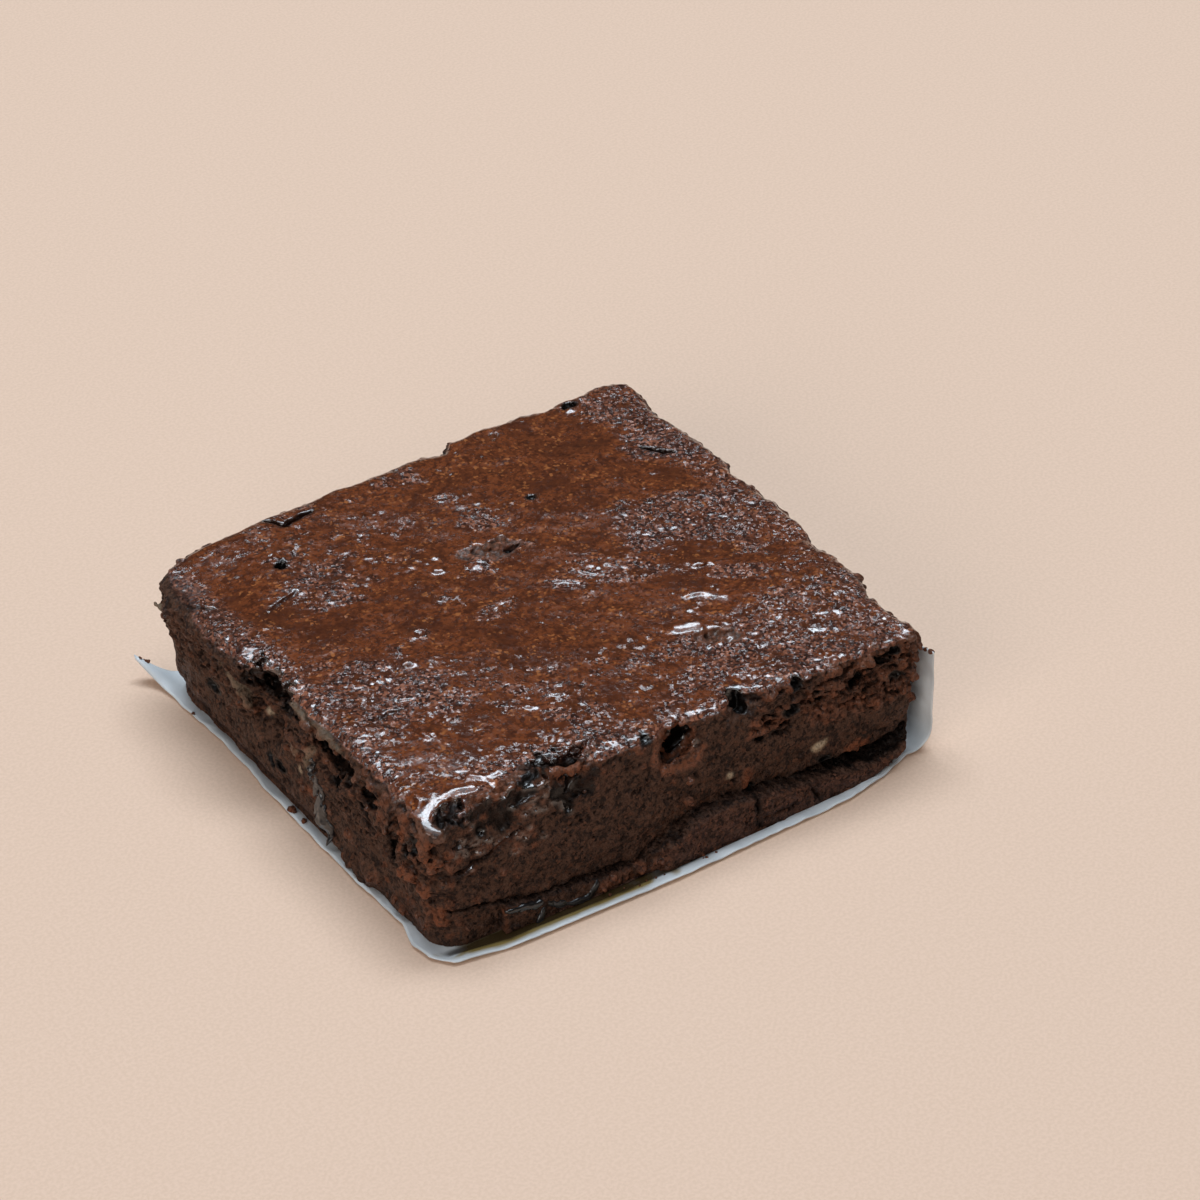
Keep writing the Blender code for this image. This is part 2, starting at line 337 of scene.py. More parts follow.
    def face_grid(self, side):
        first, second, _, _ = SIDES[side]
        return self.axes[first][:, None].astype(float), self.axes[second][None, :].astype(float)

    def surface(self, depth=None):
        """Points and four-sided faces of the surface, facing out."""
        grid = openvdb.FloatGrid(BAND_VOXELS * VOXEL)
        grid.transform = openvdb.createLinearTransform(voxelSize=VOXEL)
        grid.gridClass = openvdb.GridClass.LEVEL_SET
        grid.copyFromArray(self.depth if depth is None else depth, ijk=self.start)
        points, _, faces = grid.convertToPolygons(isovalue=0.0, adaptivity=0.0)
        return points.astype(np.float64), faces.astype(np.int64)

    def read(self, field, points):
        """The field's values at points, between its voxels."""
        place = points / VOXEL - np.array(self.start)
        limit = np.array(field.shape) - 2
        cell = np.clip(np.floor(place).astype(int), 0, limit)
        part = np.clip(place - cell, 0.0, 1.0)
        total = np.zeros(len(points))
        for corner in range(8):
            step = np.array([(corner >> k) & 1 for k in range(3)])
            weight = np.prod(np.where(step, part, 1.0 - part), axis=1)
            total += weight * field[tuple((cell + step).T)]
        return total


# ---------------------------------------------------------------------------------- relief


def streaks(x, y):
    """Places along and across the way the batter's surface was smeared."""
    return 0.825 * x - 0.566 * y, 0.566 * x + 0.825 * y


def wetness(x, y):
    """How syrupy the crust is, from 0 where it is dry to 1."""
    total = np.full(np.broadcast(x, y).shape, 0.3)
    for at_x, at_y, half_long, half_wide, turn, amount in CRUST_PATCHES:
        cos, sin = math.cos(math.radians(turn)), math.sin(math.radians(turn))
        along = (cos * (x - at_x) + sin * (y - at_y)) / half_long
        across = (cos * (y - at_y) - sin * (x - at_x)) / half_wide
        total += amount * np.exp(-((along**2 + across**2) ** 1.5))
    along, across = streaks(x, y)
    total += 1.0 * layered(along / 4.2, across / 2.3, 11, 5, 0.65)
    return smooth(total, -0.04, 0.24)


def crust_relief(x, y, wet):
    """The height of the crust's own relief."""
    along, across = streaks(x, y)
    dry = 1.0 - wet
    swell = 0.22 * layered(along / 9.0, across / 6.0, 21, 2)
    wrinkle = 0.16 * layered(along / 3.0, across / 1.7, 31, 3, 0.55)
    clumps = smooth(layered(along / 3.0, across / 2.0, 51), -0.25, 0.3)
    grit = 0.22 * grains(along, across, 41, 1.2, 0.9) + 0.16 * grains(x, y, 45, 0.7, 0.6)
    grit = grit * clumps + 0.1 * layered(along / 0.9, across / 0.7, 61, 2)
    return swell + wrinkle * (0.4 + 0.6 * dry) + grit * (0.12 + 0.88 * dry)


def grains(a, b, seed, size_a, size_b):
    """Rounded grains with sharp creases between them, about 0 on average."""
    return 0.28 - spots(a / size_a + 0.25 * layered(a, b, seed + 1, 1), b / size_b, seed) ** 2


def pitted(a, b, seed, size_a, size_b, depth, cover):
    """Small pores in a cut face."""
    hollow = smooth(0.42 - spots(a / size_a, b / size_b, seed), 0.0, 0.2)
    return -depth * hollow * smooth(layered(a / 4.0, b / 2.5, seed + 1), 0.25 - cover, 0.6 - cover)


def front_relief(x, z):
    """The cut front: dense and smeared below, torn into flakes at its upper right."""
    swell = 0.3 * layered(x / 7.0, z / 3.2, 71, 2)
    smear = 0.14 * layered(x / 1.6, z / 0.8, 81, 3, 0.6) + 0.1 * grains(x, z, 85, 0.9, 0.6)
    pores = pitted(x, z, 91, 1.7, 0.7, 0.45, 0.06) + pitted(x, z, 93, 0.9, 0.5, 0.3, 0.15)
    torn = smooth(x, 4.0, 22.0) * smooth(z - mix(16.5, 11.5, smooth(x, 12.0, 36.0)), -1.0, 1.5)
    torn = np.maximum(torn, 0.8 * smooth(z, 19.6, 21.0))
    torn = np.maximum(torn, 0.5 * smooth(-x, 36.5, 40.0) * smooth(z, 3.0, 6.0))
    flakes = 0.7 * layered(x / 2.6, z / 1.0, 101, 3, 0.6) - 0.3
    flakes += 1.1 * grains(x, z, 105, 1.7, 0.8) + 0.7 * grains(x, z, 107, 0.8, 0.6)
    return swell + smear + pores + torn * flakes


def left_relief(y, z):
    """The left face: torn in slanting strokes above, dense below."""
    down, across = -0.96 * y - 0.28 * z, -0.28 * y + 0.96 * z
    strokes = 0.8 * layered(down / 4.5, across / 1.15, 121, 3, 0.6)
    crumbs = 0.8 * grains(down, across, 125, 2.0, 1.1) + 0.5 * grains(y, z, 127, 0.8, 0.7)
    torn = smooth(z - mix(10.0, 7.0, smooth(-y, 5.0, 20.0)), -2.0, 3.5)
    dense = 0.14 * layered(y / 1.2, z / 0.8, 141, 3) + 0.14 * grains(y, z, 145, 0.9, 0.7)
    dense += pitted(y, z, 151, 1.3, 0.8, 0.5, 0.15)
    tucked = -0.9 * smooth(4.5 - z, 0.0, 3.5) * smooth(y, -24.0, -8.0)
    swell = 0.3 * layered(y / 8.0, z / 4.0, 161, 2)
    return swell + torn * (strokes + crumbs) + dense + tucked


def plain_relief(a, z, seed):
    """A cut face that is hidden: like the others, without their torn places."""
    torn = smooth(z + 3.0 * layered(a / 9.0, z / 9.0, seed + 7, 1), 9.0, 15.0)
    strokes = 0.4 * layered(a / 3.0, z / 1.1, seed, 3, 0.6) + 0.5 * grains(a, z, seed + 5, 1.6, 1.0)
    dense = 0.14 * layered(a / 1.2, z / 0.8, seed + 11, 3) + 0.14 * grains(a, z, seed + 9, 0.9, 0.7)
    pores = pitted(a, z, seed + 21, 1.4, 0.8, 0.5, 0.12)
    return 0.25 * layered(a / 7.0, z / 3.5, seed + 31, 2) + torn * strokes + dense + pores


def add_relief(clay):
    """Pushes every face's own relief into the clay, and wets the crust."""
    shares = clay.facing()
    x, y = clay.face_grid("top")
    margin = np.maximum(smooth(np.abs(x + 1.0), 36.0, 39.0), smooth(-y, 32.5, 35.5))
    left_margin = smooth(-x, 36.0, 38.0) * smooth(y, -27.0, -22.0)
    wet = wetness(x, y) * (1.0 - 0.5 * margin) * (1.0 - 0.9 * left_margin)
    high = smooth(clay.axes[2], 15.0, 17.0).astype(np.float32)
    clay.paint["wet"] += clay.spread("top", wet) * shares["top"] * high
    rim = smooth(np.maximum(-x - 35.5, -y - 32.5), 0.0, 2.5)
    glint = layered(x / 1.3, y / 1.0, 601, 3) + 0.14 * (1.0 - wet) + 0.15 * rim
    glint = smooth(glint, 0.36, 0.5)
    clay.paint["glint"] += clay.spread("top", glint) * shares["top"] * high
    fields = {
        "top": crust_relief(x, y, wet),
        "front": front_relief(*clay.face_grid("front")),
        "left": left_relief(*clay.face_grid("left")),
        "back": plain_relief(*clay.face_grid("back"), 171),
        "right": plain_relief(*clay.face_grid("right"), 271),
    }
    for side, field in fields.items():
        clay.depth -= shares[side] * clay.spread(side, field)


def add_lumps(clay):
    """Roughens the edges all round, where cutting tore the crumb."""
    lumps = 0.12 * solid_noise(clay.depth.shape, (0.8, 0.8, 0.8), 5)
    lumps += 0.1 * solid_noise(clay.depth.shape, (1.7, 1.7, 1.3), 6)
    x, y, z = clay.grid()
    rim = smooth(np.maximum(np.abs(x) - 36.5, -y - 34.0), 0.0, 3.0)
    upper = smooth(z, 12.0, 19.0)
    clay.depth -= (0.25 + 0.9 * rim * upper).astype(np.float32) * lumps


# ------------------------------------------------------------------------- named features

# (side, from a, from b, to a, to b, width, depth), in millimetres
CRACKS = (
    ("top", -27.4, 19.6, -33.2, 17.9, 0.3, 0.35),
    ("top", -22.2, 36.9, -20.6, 34.6, 0.5, 1.4),
    ("top", -20.6, 34.6, -15.6, 35.4, 0.6, 1.4),
    ("top", -34.0, -12.2, -29.8, -11.8, 0.3, 0.4),
    ("top", 34.2, 21.5, 36.8, 18.3, 0.6, 1.0),
    ("top", -41.0, 27.5, -38.5, 24.0, 0.3, 0.4),
    ("top", -33.4, -35.0, -24.0, -35.6, 1.1, 1.3),
    ("top", -22.6, -32.4, -16.0, -33.0, 0.9, 1.6),
    ("top", -20.5, -35.6, -14.5, -35.9, 0.9, 1.6),
    ("front", -38.8, 12.4, -32.0, 13.4, 0.35, 0.6),
    ("front", -32.0, 13.4, -26.0, 15.6, 0.4, 0.7),
    ("front", -18.4, 18.0, -17.2, 19.4, 0.5, 1.0),
    ("front", 25.0, 20.0, 27.6, 20.2, 0.35, 0.7),
    ("front", 10.7, 6.4, 11.5, 0.8, 0.3, 0.8),
    ("front", 20.4, 4.2, 22.0, 1.6, 0.25, 0.6),
    ("front", 11.6, 2.6, 18.0, 2.0, 0.25, 0.4),
    ("left", -17.0, 15.0, -21.0, 12.5, 0.6, 0.9),
    ("left", -26.5, 19.0, -27.0, 9.0, 0.5, 1.0),
)
# Large hollows under the crust, torn before the crumbs settle: (side, place a, place b, half
# lengths along a, b and out, turn, sink)
TORN_HOLLOWS = (
    ("left", 3.4, 20.0, 5.6, 2.6, 2.4, 8.0, 0.0),
    ("left", 8.2, 18.2, 3.8, 2.0, 4.4, 12.0, 1.0),
    ("left", 2.4, 17.0, 3.6, 2.3, 4.4, 12.0, 1.0),
    ("left", -8.4, 17.4, 3.4, 1.7, 3.2, 5.0, 0.6),
    ("left", -13.8, 17.2, 3.4, 1.8, 3.2, -5.0, 0.6),
    ("left", -20.0, 17.0, 2.6, 1.6, 1.8, 10.0, 0.3),
    ("left", -26.3, 13.6, 1.1, 2.2, 2.0, 0.0, 0.3),
    ("front", 33.6, 18.2, 2.6, 1.2, 1.8, 10.0, 0.3),
    ("top", -35.8, -33.8, 2.6, 2.1, 1.7, 30.0, 0.0),
    ("top", -18.2, -33.4, 3.6, 1.9, 2.0, -10.0, 0.0),
)
# (side, place a, place b, half lengths along a, b and out, turn, sink)
HOLES = (
    ("top", -25.9, 26.4, 1.0, 0.75, 1.7, 35.0, 0.2),
    ("top", 8.5, 38.2, 0.9, 1.7, 2.4, 0.0, 0.4),
    ("top", 12.6, 19.6, 0.8, 0.6, 0.7, 0.0, 0.1),
    ("top", 3.4, 11.2, 0.9, 0.6, 1.0, -20.0, 0.1),
    ("top", 31.5, 37.6, 1.3, 0.8, 1.4, 0.0, 0.2),
    ("top", 10.0, -34.6, 1.3, 1.5, 2.4, 10.0, 0.4),
    ("top", -24.0, -34.4, 1.5, 0.8, 1.4, 20.0, 0.2),
    ("front", -5.7, 21.6, 0.7, 0.5, 1.0, 0.0, 0.2),
    ("front", 19.0, 21.0, 1.0, 0.8, 1.6, 0.0, 0.2),
    ("front", 33.2, 18.4, 1.6, 0.9, 1.6, 20.0, 0.4),
    ("front", 35.6, 19.8, 1.0, 0.8, 1.4, 20.0, 0.3),
    ("front", 18.5, 16.6, 1.0, 0.6, 1.2, 0.0, 0.2),
    ("front", 23.0, 18.2, 1.2, 0.5, 1.2, -10.0, 0.2),
    ("front", 29.5, 16.6, 1.3, 0.5, 1.2, 10.0, 0.2),
    ("front", 36.5, 15.4, 1.0, 0.7, 1.2, 0.0, 0.2),
    ("front", 24.3, 5.8, 1.1, 0.4, 0.8, 0.0, 0.1),
    ("front", 11.2, 6.6, 0.5, 0.6, 1.0, 0.0, 0.1),
    ("front", -40.4, 16.6, 0.8, 1.5, 1.4, 0.0, 0.2),
    ("left", 9.2, 18.7, 2.0, 1.1, 2.2, 10.0, 0.4),
    ("left", 6.0, 18.0, 2.4, 1.4, 2.6, 10.0, 0.4),
    ("left", 2.4, 17.2, 2.6, 1.5, 2.6, 12.0, 0.4),
    ("left", 5.6, 15.2, 1.6, 0.7, 1.0, 15.0, 0.2),
    ("left", 5.6, 6.8, 1.0, 0.5, 0.8, 30.0, 0.1),
    ("left", 3.1, 7.1, 1.0, 0.6, 0.8, 30.0, 0.1),
    ("left", 21.6, 9.5, 1.4, 0.9, 0.9, 0.0, 0.1),
    ("left", -8.4, 18.3, 2.4, 1.1, 2.0, 5.0, 0.3),
    ("left", -13.4, 18.0, 2.4, 1.1, 2.0, -5.0, 0.3),
    ("left", -18.6, 16.8, 1.6, 0.7, 1.2, 30.0, 0.3),
    ("left", -29.4, 14.0, 0.6, 1.5, 1.6, 5.0, 0.4),
    ("left", -11.6, 13.6, 1.4, 0.7, 0.9, 10.0, 0.2),
    ("left", 16.6, 17.0, 1.8, 0.6, 1.2, 10.0, 0.2),
)
WET_FORMS = (
    ("top", 13.7, -18.8, 3.2, 1.4, 0.55, -24.0, 0.2),
    ("top", 23.2, -7.0, 2.2, 0.6, 0.5, -25.0, 0.2),
    ("top", 31.0, 36.4, 0.9, 0.7, 0.6, 0.0, 0.1),
    ("top", -7.9, 12.8, 0.9, 1.0, 0.6, 0.0, 0.15),
    ("top", -16.0, 24.2, 1.1, 0.6, 0.5, 20.0, 0.15),
    ("top", -23.6, -4.3, 0.8, 0.8, 0.5, 0.0, 0.15),
    ("top", -29.5, -18.8, 1.3, 0.6, 0.5, 0.0, 0.15),
)
BLISTERS = (
    (-19.0, 0.8, 1.5, 1.3, 0.0),
    (-6.4, -0.5, 3.3, 1.3, 12.0),
    (-11.4, 6.2, 1.0, 0.7, 10.0),
    (5.3, -0.8, 2.9, 1.2, -35.0),
    (-9.7, -20.6, 1.6, 1.4, 0.0),
    (11.8, -1.2, 4.6, 1.6, -43.0),
    (35.5, 19.9, 2.9, 1.3, -51.0),
    (2.0, 27.0, 1.6, 1.0, -30.0),
    (-12.5, 26.5, 1.2, 1.0, 0.0),
)
RED_FORMS = (
    ("front", 10.7, 9.0, 0.8, 1.0, 0.3, 0.0, 0.1),
    ("front", 10.5, 7.9, 0.4, 1.0, 0.3, 0.0, 0.1),
    ("front", 30.2, 5.6, 1.9, 0.8, 0.3, 0.0, 0.1),
    ("front", -39.7, 17.8, 0.6, 2.9, 0.8, -6.0, 0.1),
    ("front", -38.9, 14.4, 0.9, 0.6, 0.8, 10.0, 0.0),
    ("front", -29.2, 14.6, 1.5, 0.35, 0.3, 25.0, 0.0),
    ("left", -4.7, 7.7, 1.0, 0.35, 0.5, 22.0, 0.0),
    ("left", -28.6, 16.6, 0.6, 3.2, 0.9, 6.0, 0.1),
    ("left", -32.6, 17.0, 0.6, 2.4, 0.9, -6.0, 0.1),
    ("left", -30.4, 10.9, 1.3, 1.0, 1.0, 20.0, 0.0),
    ("left", -33.0, 9.4, 0.8, 0.9, 0.8, 0.0, 0.0),
    ("left", -35.0, 5.4, 0.7, 1.2, 0.8, 0.0, 0.0),
    ("top", -18.0, -34.4, 3.0, 0.6, 0.7, -14.0, -0.3),
    ("top", -2.6, 10.6, 2.2, 1.3, 0.4, 20.0, 0.2),
    ("top", 2.0, 12.8, 2.2, 0.6, 0.4, -20.0, 0.1),
)
PALE_FORMS = (
    ("front", 22.9, 8.4, 0.65, 0.4, 0.3, 10.0, 0.1),
    ("front", 23.7, 8.7, 0.6, 0.3, 0.25, 20.0, 0.1),
    ("front", 7.7, 10.2, 0.24, 0.22, 0.25, 0.0, 0.0),
    ("left", -2.1, 9.8, 0.4, 0.25, 0.3, 30.0, 0.0),
    ("left", 8.6, 12.6, 0.3, 0.25, 0.3, 30.0, 0.0),
)
# Ridges on the left face, whose pale paint is a painted sheen: (side, place a, place b, half lengths
# along a, b and out, turn, sink, how pale)
SHEEN_RIDGES = (
    ("left", 14.0, 16.6, 3.6, 0.7, 1.0, 30.0, 0.2, 0.35),
    ("left", 10.8, 14.6, 1.5, 0.4, 0.7, 30.0, 0.2, 0.2),
    ("left", 32.2, 16.6, 3.4, 0.5, 0.5, -12.0, 0.1, 0.4),
    ("left", -1.5, 13.4, 0.35, 1.3, 0.5, 10.0, 0.1, 0.2),
    ("left", -5.0, 14.2, 0.4, 2.6, 0.6, 22.0, 0.1, 0.3),
    ("left", -1.8, 20.5, 2.2, 0.3, 0.5, 0.0, 0.0, 0.26),
    ("left", -9.4, 20.4, 3.2, 0.35, 0.5, 6.0, 0.0, 0.2),
    ("left", -15.0, 2.4, 5.2, 1.8, 0.9, 0.0, 0.4, 0.0),
)
# Smooth rims of syrupy crust: each rim's path in (x, y), its height at the first point, its half
# width and how round it is across
GLOSSY_RIMS = (
    (
        (
            (-30.9, -31.5),
            (-33.4, -30.7),
            (-35.6, -30.6),
            (-37.6, -31.2),
            (-39.0, -32.2),
            (-39.2, -33.4),
            (-38.3, -34.9),
        ),
        22.1,
        0.7,
        1.7,
    ),
    (((12.2, -18.2), (13.4, -18.7), (14.8, -19.3)), 22.35, 0.8, 2.4),
    (((-29.6, -29.3), (-28.6, -30.6), (-27.4, -31.0), (-26.2, -30.8)), 22.1, 0.4, 1.6),
    (((-28.4, -31.2), (-28.2, -33.2)), 21.9, 0.35, 1.4),
)
# How the plane of such a rim climbs along X and Y, from the front left corner
RIM_CLIMB = (0.168, 0.262)
# Clusters of glinting beads of syrup on the crust: (x, y), half length, half width, turn, how
# many, and their size
BEAD_CLUSTERS = (
    (-27.0, -35.8, 9.5, 1.0, 0.0, 60, 0.5),
    (-9.6, 15.6, 4.0, 1.3, -5.0, 11, 1.3),
    (-8.0, 12.9, 0.7, 1.1, 0.0, 4, 1.2),
    (-16.0, 20.0, 3.2, 3.0, 0.0, 14, 1.15),
    (-23.6, 29.6, 2.8, 1.2, -15.0, 14, 0.6),
    (-14.0, 26.5, 1.6, 0.8, 0.0, 4, 0.8),
    (-11.0, 32.0, 4.5, 1.6, -30.0, 5, 0.6),
    (-2.0, 28.2, 1.2, 0.6, 0.0, 3, 0.9),
    (4.2, 23.7, 2.4, 0.8, -15.0, 7, 1.1),
    (8.2, 20.2, 2.0, 1.2, 20.0, 6, 0.6),
    (6.0, 26.2, 1.2, 0.6, 0.0, 3, 0.7),
    (12.8, 19.4, 0.7, 0.4, 0.0, 3, 0.6),
    (36.2, 19.4, 1.7, 0.3, -51.0, 5, 0.5),
    (31.0, 15.0, 0.7, 0.5, 0.0, 2, 0.6),
    (36.8, 26.5, 0.8, 0.5, 0.0, 2, 0.7),
    (38.6, 33.2, 1.2, 0.6, 60.0, 4, 0.5),
    (17.0, 36.4, 0.9, 0.5, 0.0, 3, 0.6),
    (6.0, 33.0, 1.4, 0.9, -40.0, 4, 0.6),
    (-38.0, 17.5, 2.4, 1.2, 0.0, 6, 0.4),
    (-19.4, 1.3, 1.5, 1.1, 0.0, 6, 0.6),
    (-23.5, -4.3, 1.5, 0.7, 0.0, 4, 1.1),
    (-28.0, -4.6, 4.5, 1.7, -20.0, 22, 0.6),
    (-33.0, -7.0, 3.0, 2.2, 0.0, 11, 0.5),
    (-20.8, -6.6, 1.5, 0.8, 0.0, 4, 0.6),
    (-16.4, -8.0, 0.9, 0.8, 0.0, 4, 0.8),
    (-12.0, -8.0, 1.5, 0.6, 0.0, 3, 0.6),
    (-6.0, -0.6, 2.7, 0.5, 12.0, 7, 0.7),
    (-9.4, 4.0, 0.6, 1.5, 0.0, 4, 0.6),
    (-11.6, 6.2, 0.9, 0.5, 0.0, 3, 0.7),
    (-12.6, 11.4, 0.8, 0.4, 0.0, 2, 0.6),
    (1.8, -11.4, 1.7, 0.5, -50.0, 6, 0.7),
    (9.0, 1.6, 3.4, 0.5, -36.0, 10, 0.8),
    (14.2, 1.0, 2.4, 0.9, -50.0, 11, 0.8),
    (8.6, -2.6, 2.2, 0.8, 50.0, 8, 0.6),
    (13.6, -3.4, 3.4, 0.9, -35.0, 10, 0.6),
    (22.8, -7.2, 2.7, 0.5, -28.0, 11, 0.9),
    (28.0, -7.2, 1.4, 0.6, 0.0, 4, 0.8),
    (36.2, -11.0, 1.8, 1.4, 0.0, 7, 0.8),
    (37.8, -16.0, 2.0, 3.2, 0.0, 16, 0.6),
    (18.0, -14.4, 2.4, 0.5, 32.0, 10, 0.7),
    (22.0, -13.4, 1.2, 0.6, 0.0, 4, 0.6),
    (17.6, -20.4, 2.6, 0.6, -24.0, 9, 1.0),
    (0.0, -17.4, 3.0, 1.0, -8.0, 10, 0.5),
    (5.0, -18.0, 3.0, 1.4, 0.0, 14, 0.6),
    (-15.4, -21.6, 2.0, 0.6, -10.0, 7, 1.0),
    (-9.4, -23.4, 2.8, 3.0, 0.0, 46, 0.55),
    (-8.6, -29.0, 2.4, 3.2, 0.0, 30, 0.5),
    (-29.4, -19.2, 1.9, 0.7, -15.0, 6, 1.1),
    (-25.2, -21.4, 2.2, 0.6, -15.0, 6, 0.6),
    (3.4, -27.8, 5.0, 0.6, -14.0, 20, 0.7),
    (-5.4, -31.0, 1.2, 0.8, 0.0, 5, 0.9),
    (0.0, -33.2, 8.0, 0.8, -3.0, 26, 0.55),
    (11.4, -33.0, 1.2, 1.2, 0.0, 8, 0.8),
    (16.6, -32.0, 4.0, 2.0, 0.0, 26, 0.55),
    (25.4, -34.6, 0.7, 0.8, 0.0, 4, 1.0),
    (24.0, -25.0, 9.0, 5.0, -10.0, 70, 0.45),
    (34.0, -22.0, 5.0, 5.0, 0.0, 50, 0.45),
    (33.0, -31.0, 6.5, 4.0, 0.0, 46, 0.42),
    (-16.0, -28.6, 2.0, 2.0, 0.0, 14, 0.6),
    (-22.6, -28.2, 5.0, 1.2, -8.0, 18, 0.5),
    (-30.0, -26.0, 6.0, 1.5, -8.0, 15, 0.45),
    (-37.6, -26.0, 1.5, 1.6, 0.0, 8, 0.6),
    (-34.0, -16.0, 3.0, 4.0, 0.0, 18, 0.5),
    (-27.6, -16.0, 3.0, 2.0, 0.0, 8, 0.5),
    (-37.4, -9.0, 1.4, 3.0, 0.0, 9, 0.55),
    (30.0, 2.0, 11.0, 6.0, -28.0, 46, 0.36),
    (-24.0, 19.0, 5.0, 5.0, -35.0, 24, 0.5),
    (-35.4, 14.6, 2.6, 2.0, 0.0, 8, 0.5),
    (-18.6, 16.0, 2.0, 2.0, 0.0, 8, 0.5),
)
# Zones of crumbs pressed into a face: side, from a, to a, from b, to b, count, least and most
# half length, and how red they are
CRUMB_ZONES = (
    ("top", -3.6, 4.8, 10.6, 13.8, 44, 0.3, 0.8, 1.0),
    ("top", 13.2, 18.8, -24.2, -21.2, 26, 0.3, 0.7, 1.0),
    ("top", -34.5, -22.0, -34.8, -33.0, 80, 0.3, 0.8, 1.0),
    ("top", -24.0, -12.0, -34.8, -32.0, 40, 0.3, 0.8, 1.0),
    ("front", -36.0, -12.0, 17.0, 21.0, 60, 0.2, 0.5, 0.5),
    ("front", 11.5, 22.0, 15.0, 17.6, 60, 0.25, 0.7, 0.8),
    ("front", 21.0, 40.0, 11.6, 15.0, 70, 0.25, 0.8, 0.8),
    ("front", 21.0, 40.5, 13.0, 21.5, 220, 0.2, 0.7, 0.7),
    ("front", -22.0, 40.0, 20.6, 22.0, 130, 0.25, 0.7, 0.8),
    ("front", -41.0, -39.4, 1.5, 9.0, 22, 0.25, 0.7, 0.7),
    ("front", -41.0, -38.6, 11.0, 20.0, 26, 0.25, 0.7, 0.8),
    ("front", -38.0, -24.0, 12.0, 16.0, 30, 0.2, 0.5, 0.7),
    ("front", -14.6, -4.0, 0.6, 2.2, 40, 0.25, 0.5, 0.6),
    ("left", -37.6, -35.8, 2.0, 19.5, 26, 0.25, 0.6, 0.6),
    ("left", -36.0, -24.0, 13.0, 21.0, 80, 0.25, 0.7, 0.6),
    ("left", -35.5, -27.0, 2.0, 13.0, 40, 0.25, 0.5, 0.5),
    ("left", -26.0, -4.0, 15.0, 20.0, 100, 0.25, 0.7, 0.7),
    ("left", -4.0, 14.0, 12.0, 15.4, 50, 0.25, 0.6, 0.6),
    ("left", 12.0, 34.0, 12.0, 19.0, 70, 0.25, 0.6, 0.3),
    ("left", -30.0, 34.0, 2.0, 15.0, 90, 0.2, 0.4, 0.3),
    ("right", -37.5, 38.0, 16.0, 21.2, 200, 0.3, 0.9, 0.7),
    ("right", -38.5, -35.5, 8.0, 21.5, 36, 0.4, 0.9, 0.8),
    ("back", -38.0, 40.0, 15.0, 20.6, 90, 0.3, 0.7, 0.7),
)


# Zones of hollows under the crust's edge: side, from a, to a, lowest b, count
GAP_ZONES = (("front", 12.0, 39.0, 13.5, 70), ("right", -37.0, 38.0, 15.0, 70))


def add_crumbs(clay):
    random = np.random.default_rng(7)
    for side, low_a, high_a, low_b, high_b, count, least, most, red in CRUMB_ZONES:
        for _ in range(count):
            half = mix(least, most, random.uniform() ** 1.8)
            paint = {"red": red * random.uniform(0.3, 1.0), "painted_shade": 0.0}
            paint["wet"] = 0.3 * random.uniform() ** 2
            clay.press_on(
                side,
                random.uniform(low_a, high_a),
                random.uniform(low_b, high_b),
                half * random.uniform(0.8, 1.4),
                half * random.uniform(0.55, 1.0),
                half * random.uniform(0.7, 1.0),
                random.uniform(-40.0, 40.0),
                half * random.uniform(-0.35, 0.45),
                paint=paint,
                blend=0.15,
            )


def carve_crack(clay, side, from_a, from_b, to_a, to_b, width, depth, random):
    """A torn line: a row of small hollows that strays from its course, darkened with painted shade.
    """
    length = math.hypot(to_a - from_a, to_b - from_b)
    turn = math.degrees(math.atan2(to_b - from_b, to_a - from_a))
    stray = 0.0
    for share in np.linspace(0.0, 1.0, max(int(length / 0.45), 2)):
        stray = 0.7 * stray + random.uniform(-0.22, 0.22)
        place_a = mix(from_a, to_a, share) - stray * math.sin(math.radians(turn))
        place_b = mix(from_b, to_b, share) + stray * math.cos(math.radians(turn))
        taper = (0.55 + 0.45 * math.sin(math.pi * share)) * random.uniform(0.75, 1.25)
        half = (0.6, 0.55 * width * taper, depth * taper)
        clay.carve(side, place_a, place_b, *half, turn, 0.0, paint={"painted_shade": min(depth, 0.85)})


def add_gaps(clay, random):
    """The gap above the squeezed bottom crust, and hollows under the crust's edges, all darkened
    with painted shade.
    """
    for x in np.arange(-37.5, 38.6, 0.7):
        level = np.interp(x, *zip(*LIP_TOP)) + random.uniform(-0.12, 0.12)
        wide = smooth(x, 18.0, 30.0)
        tall = mix(0.14, 0.95, wide) * random.uniform(0.7, 1.3)
        place = (x, level + 0.1 + 0.6 * wide, 0.9, tall, mix(0.7, 1.9, wide))
        # Painted shade in the gap
        dark = {"painted_shade": mix(0.4, 0.9, wide)}
        clay.carve("front", *place, random.uniform(-15.0, 15.0), 0.1, paint=dark)
    # Hollows under the crust's edges, with painted shade
    for side, low, high, bottom, count in GAP_ZONES:
        for _ in range(count):
            clay.carve(
                side,
                random.uniform(low, high),
                random.uniform(bottom, 21.4),
                random.uniform(0.5, 1.5),
                random.uniform(0.25, 0.5),
                random.uniform(0.6, 1.3),
                random.uniform(-20.0, 20.0),
                0.1,
                paint={"painted_shade": 0.4},
            )


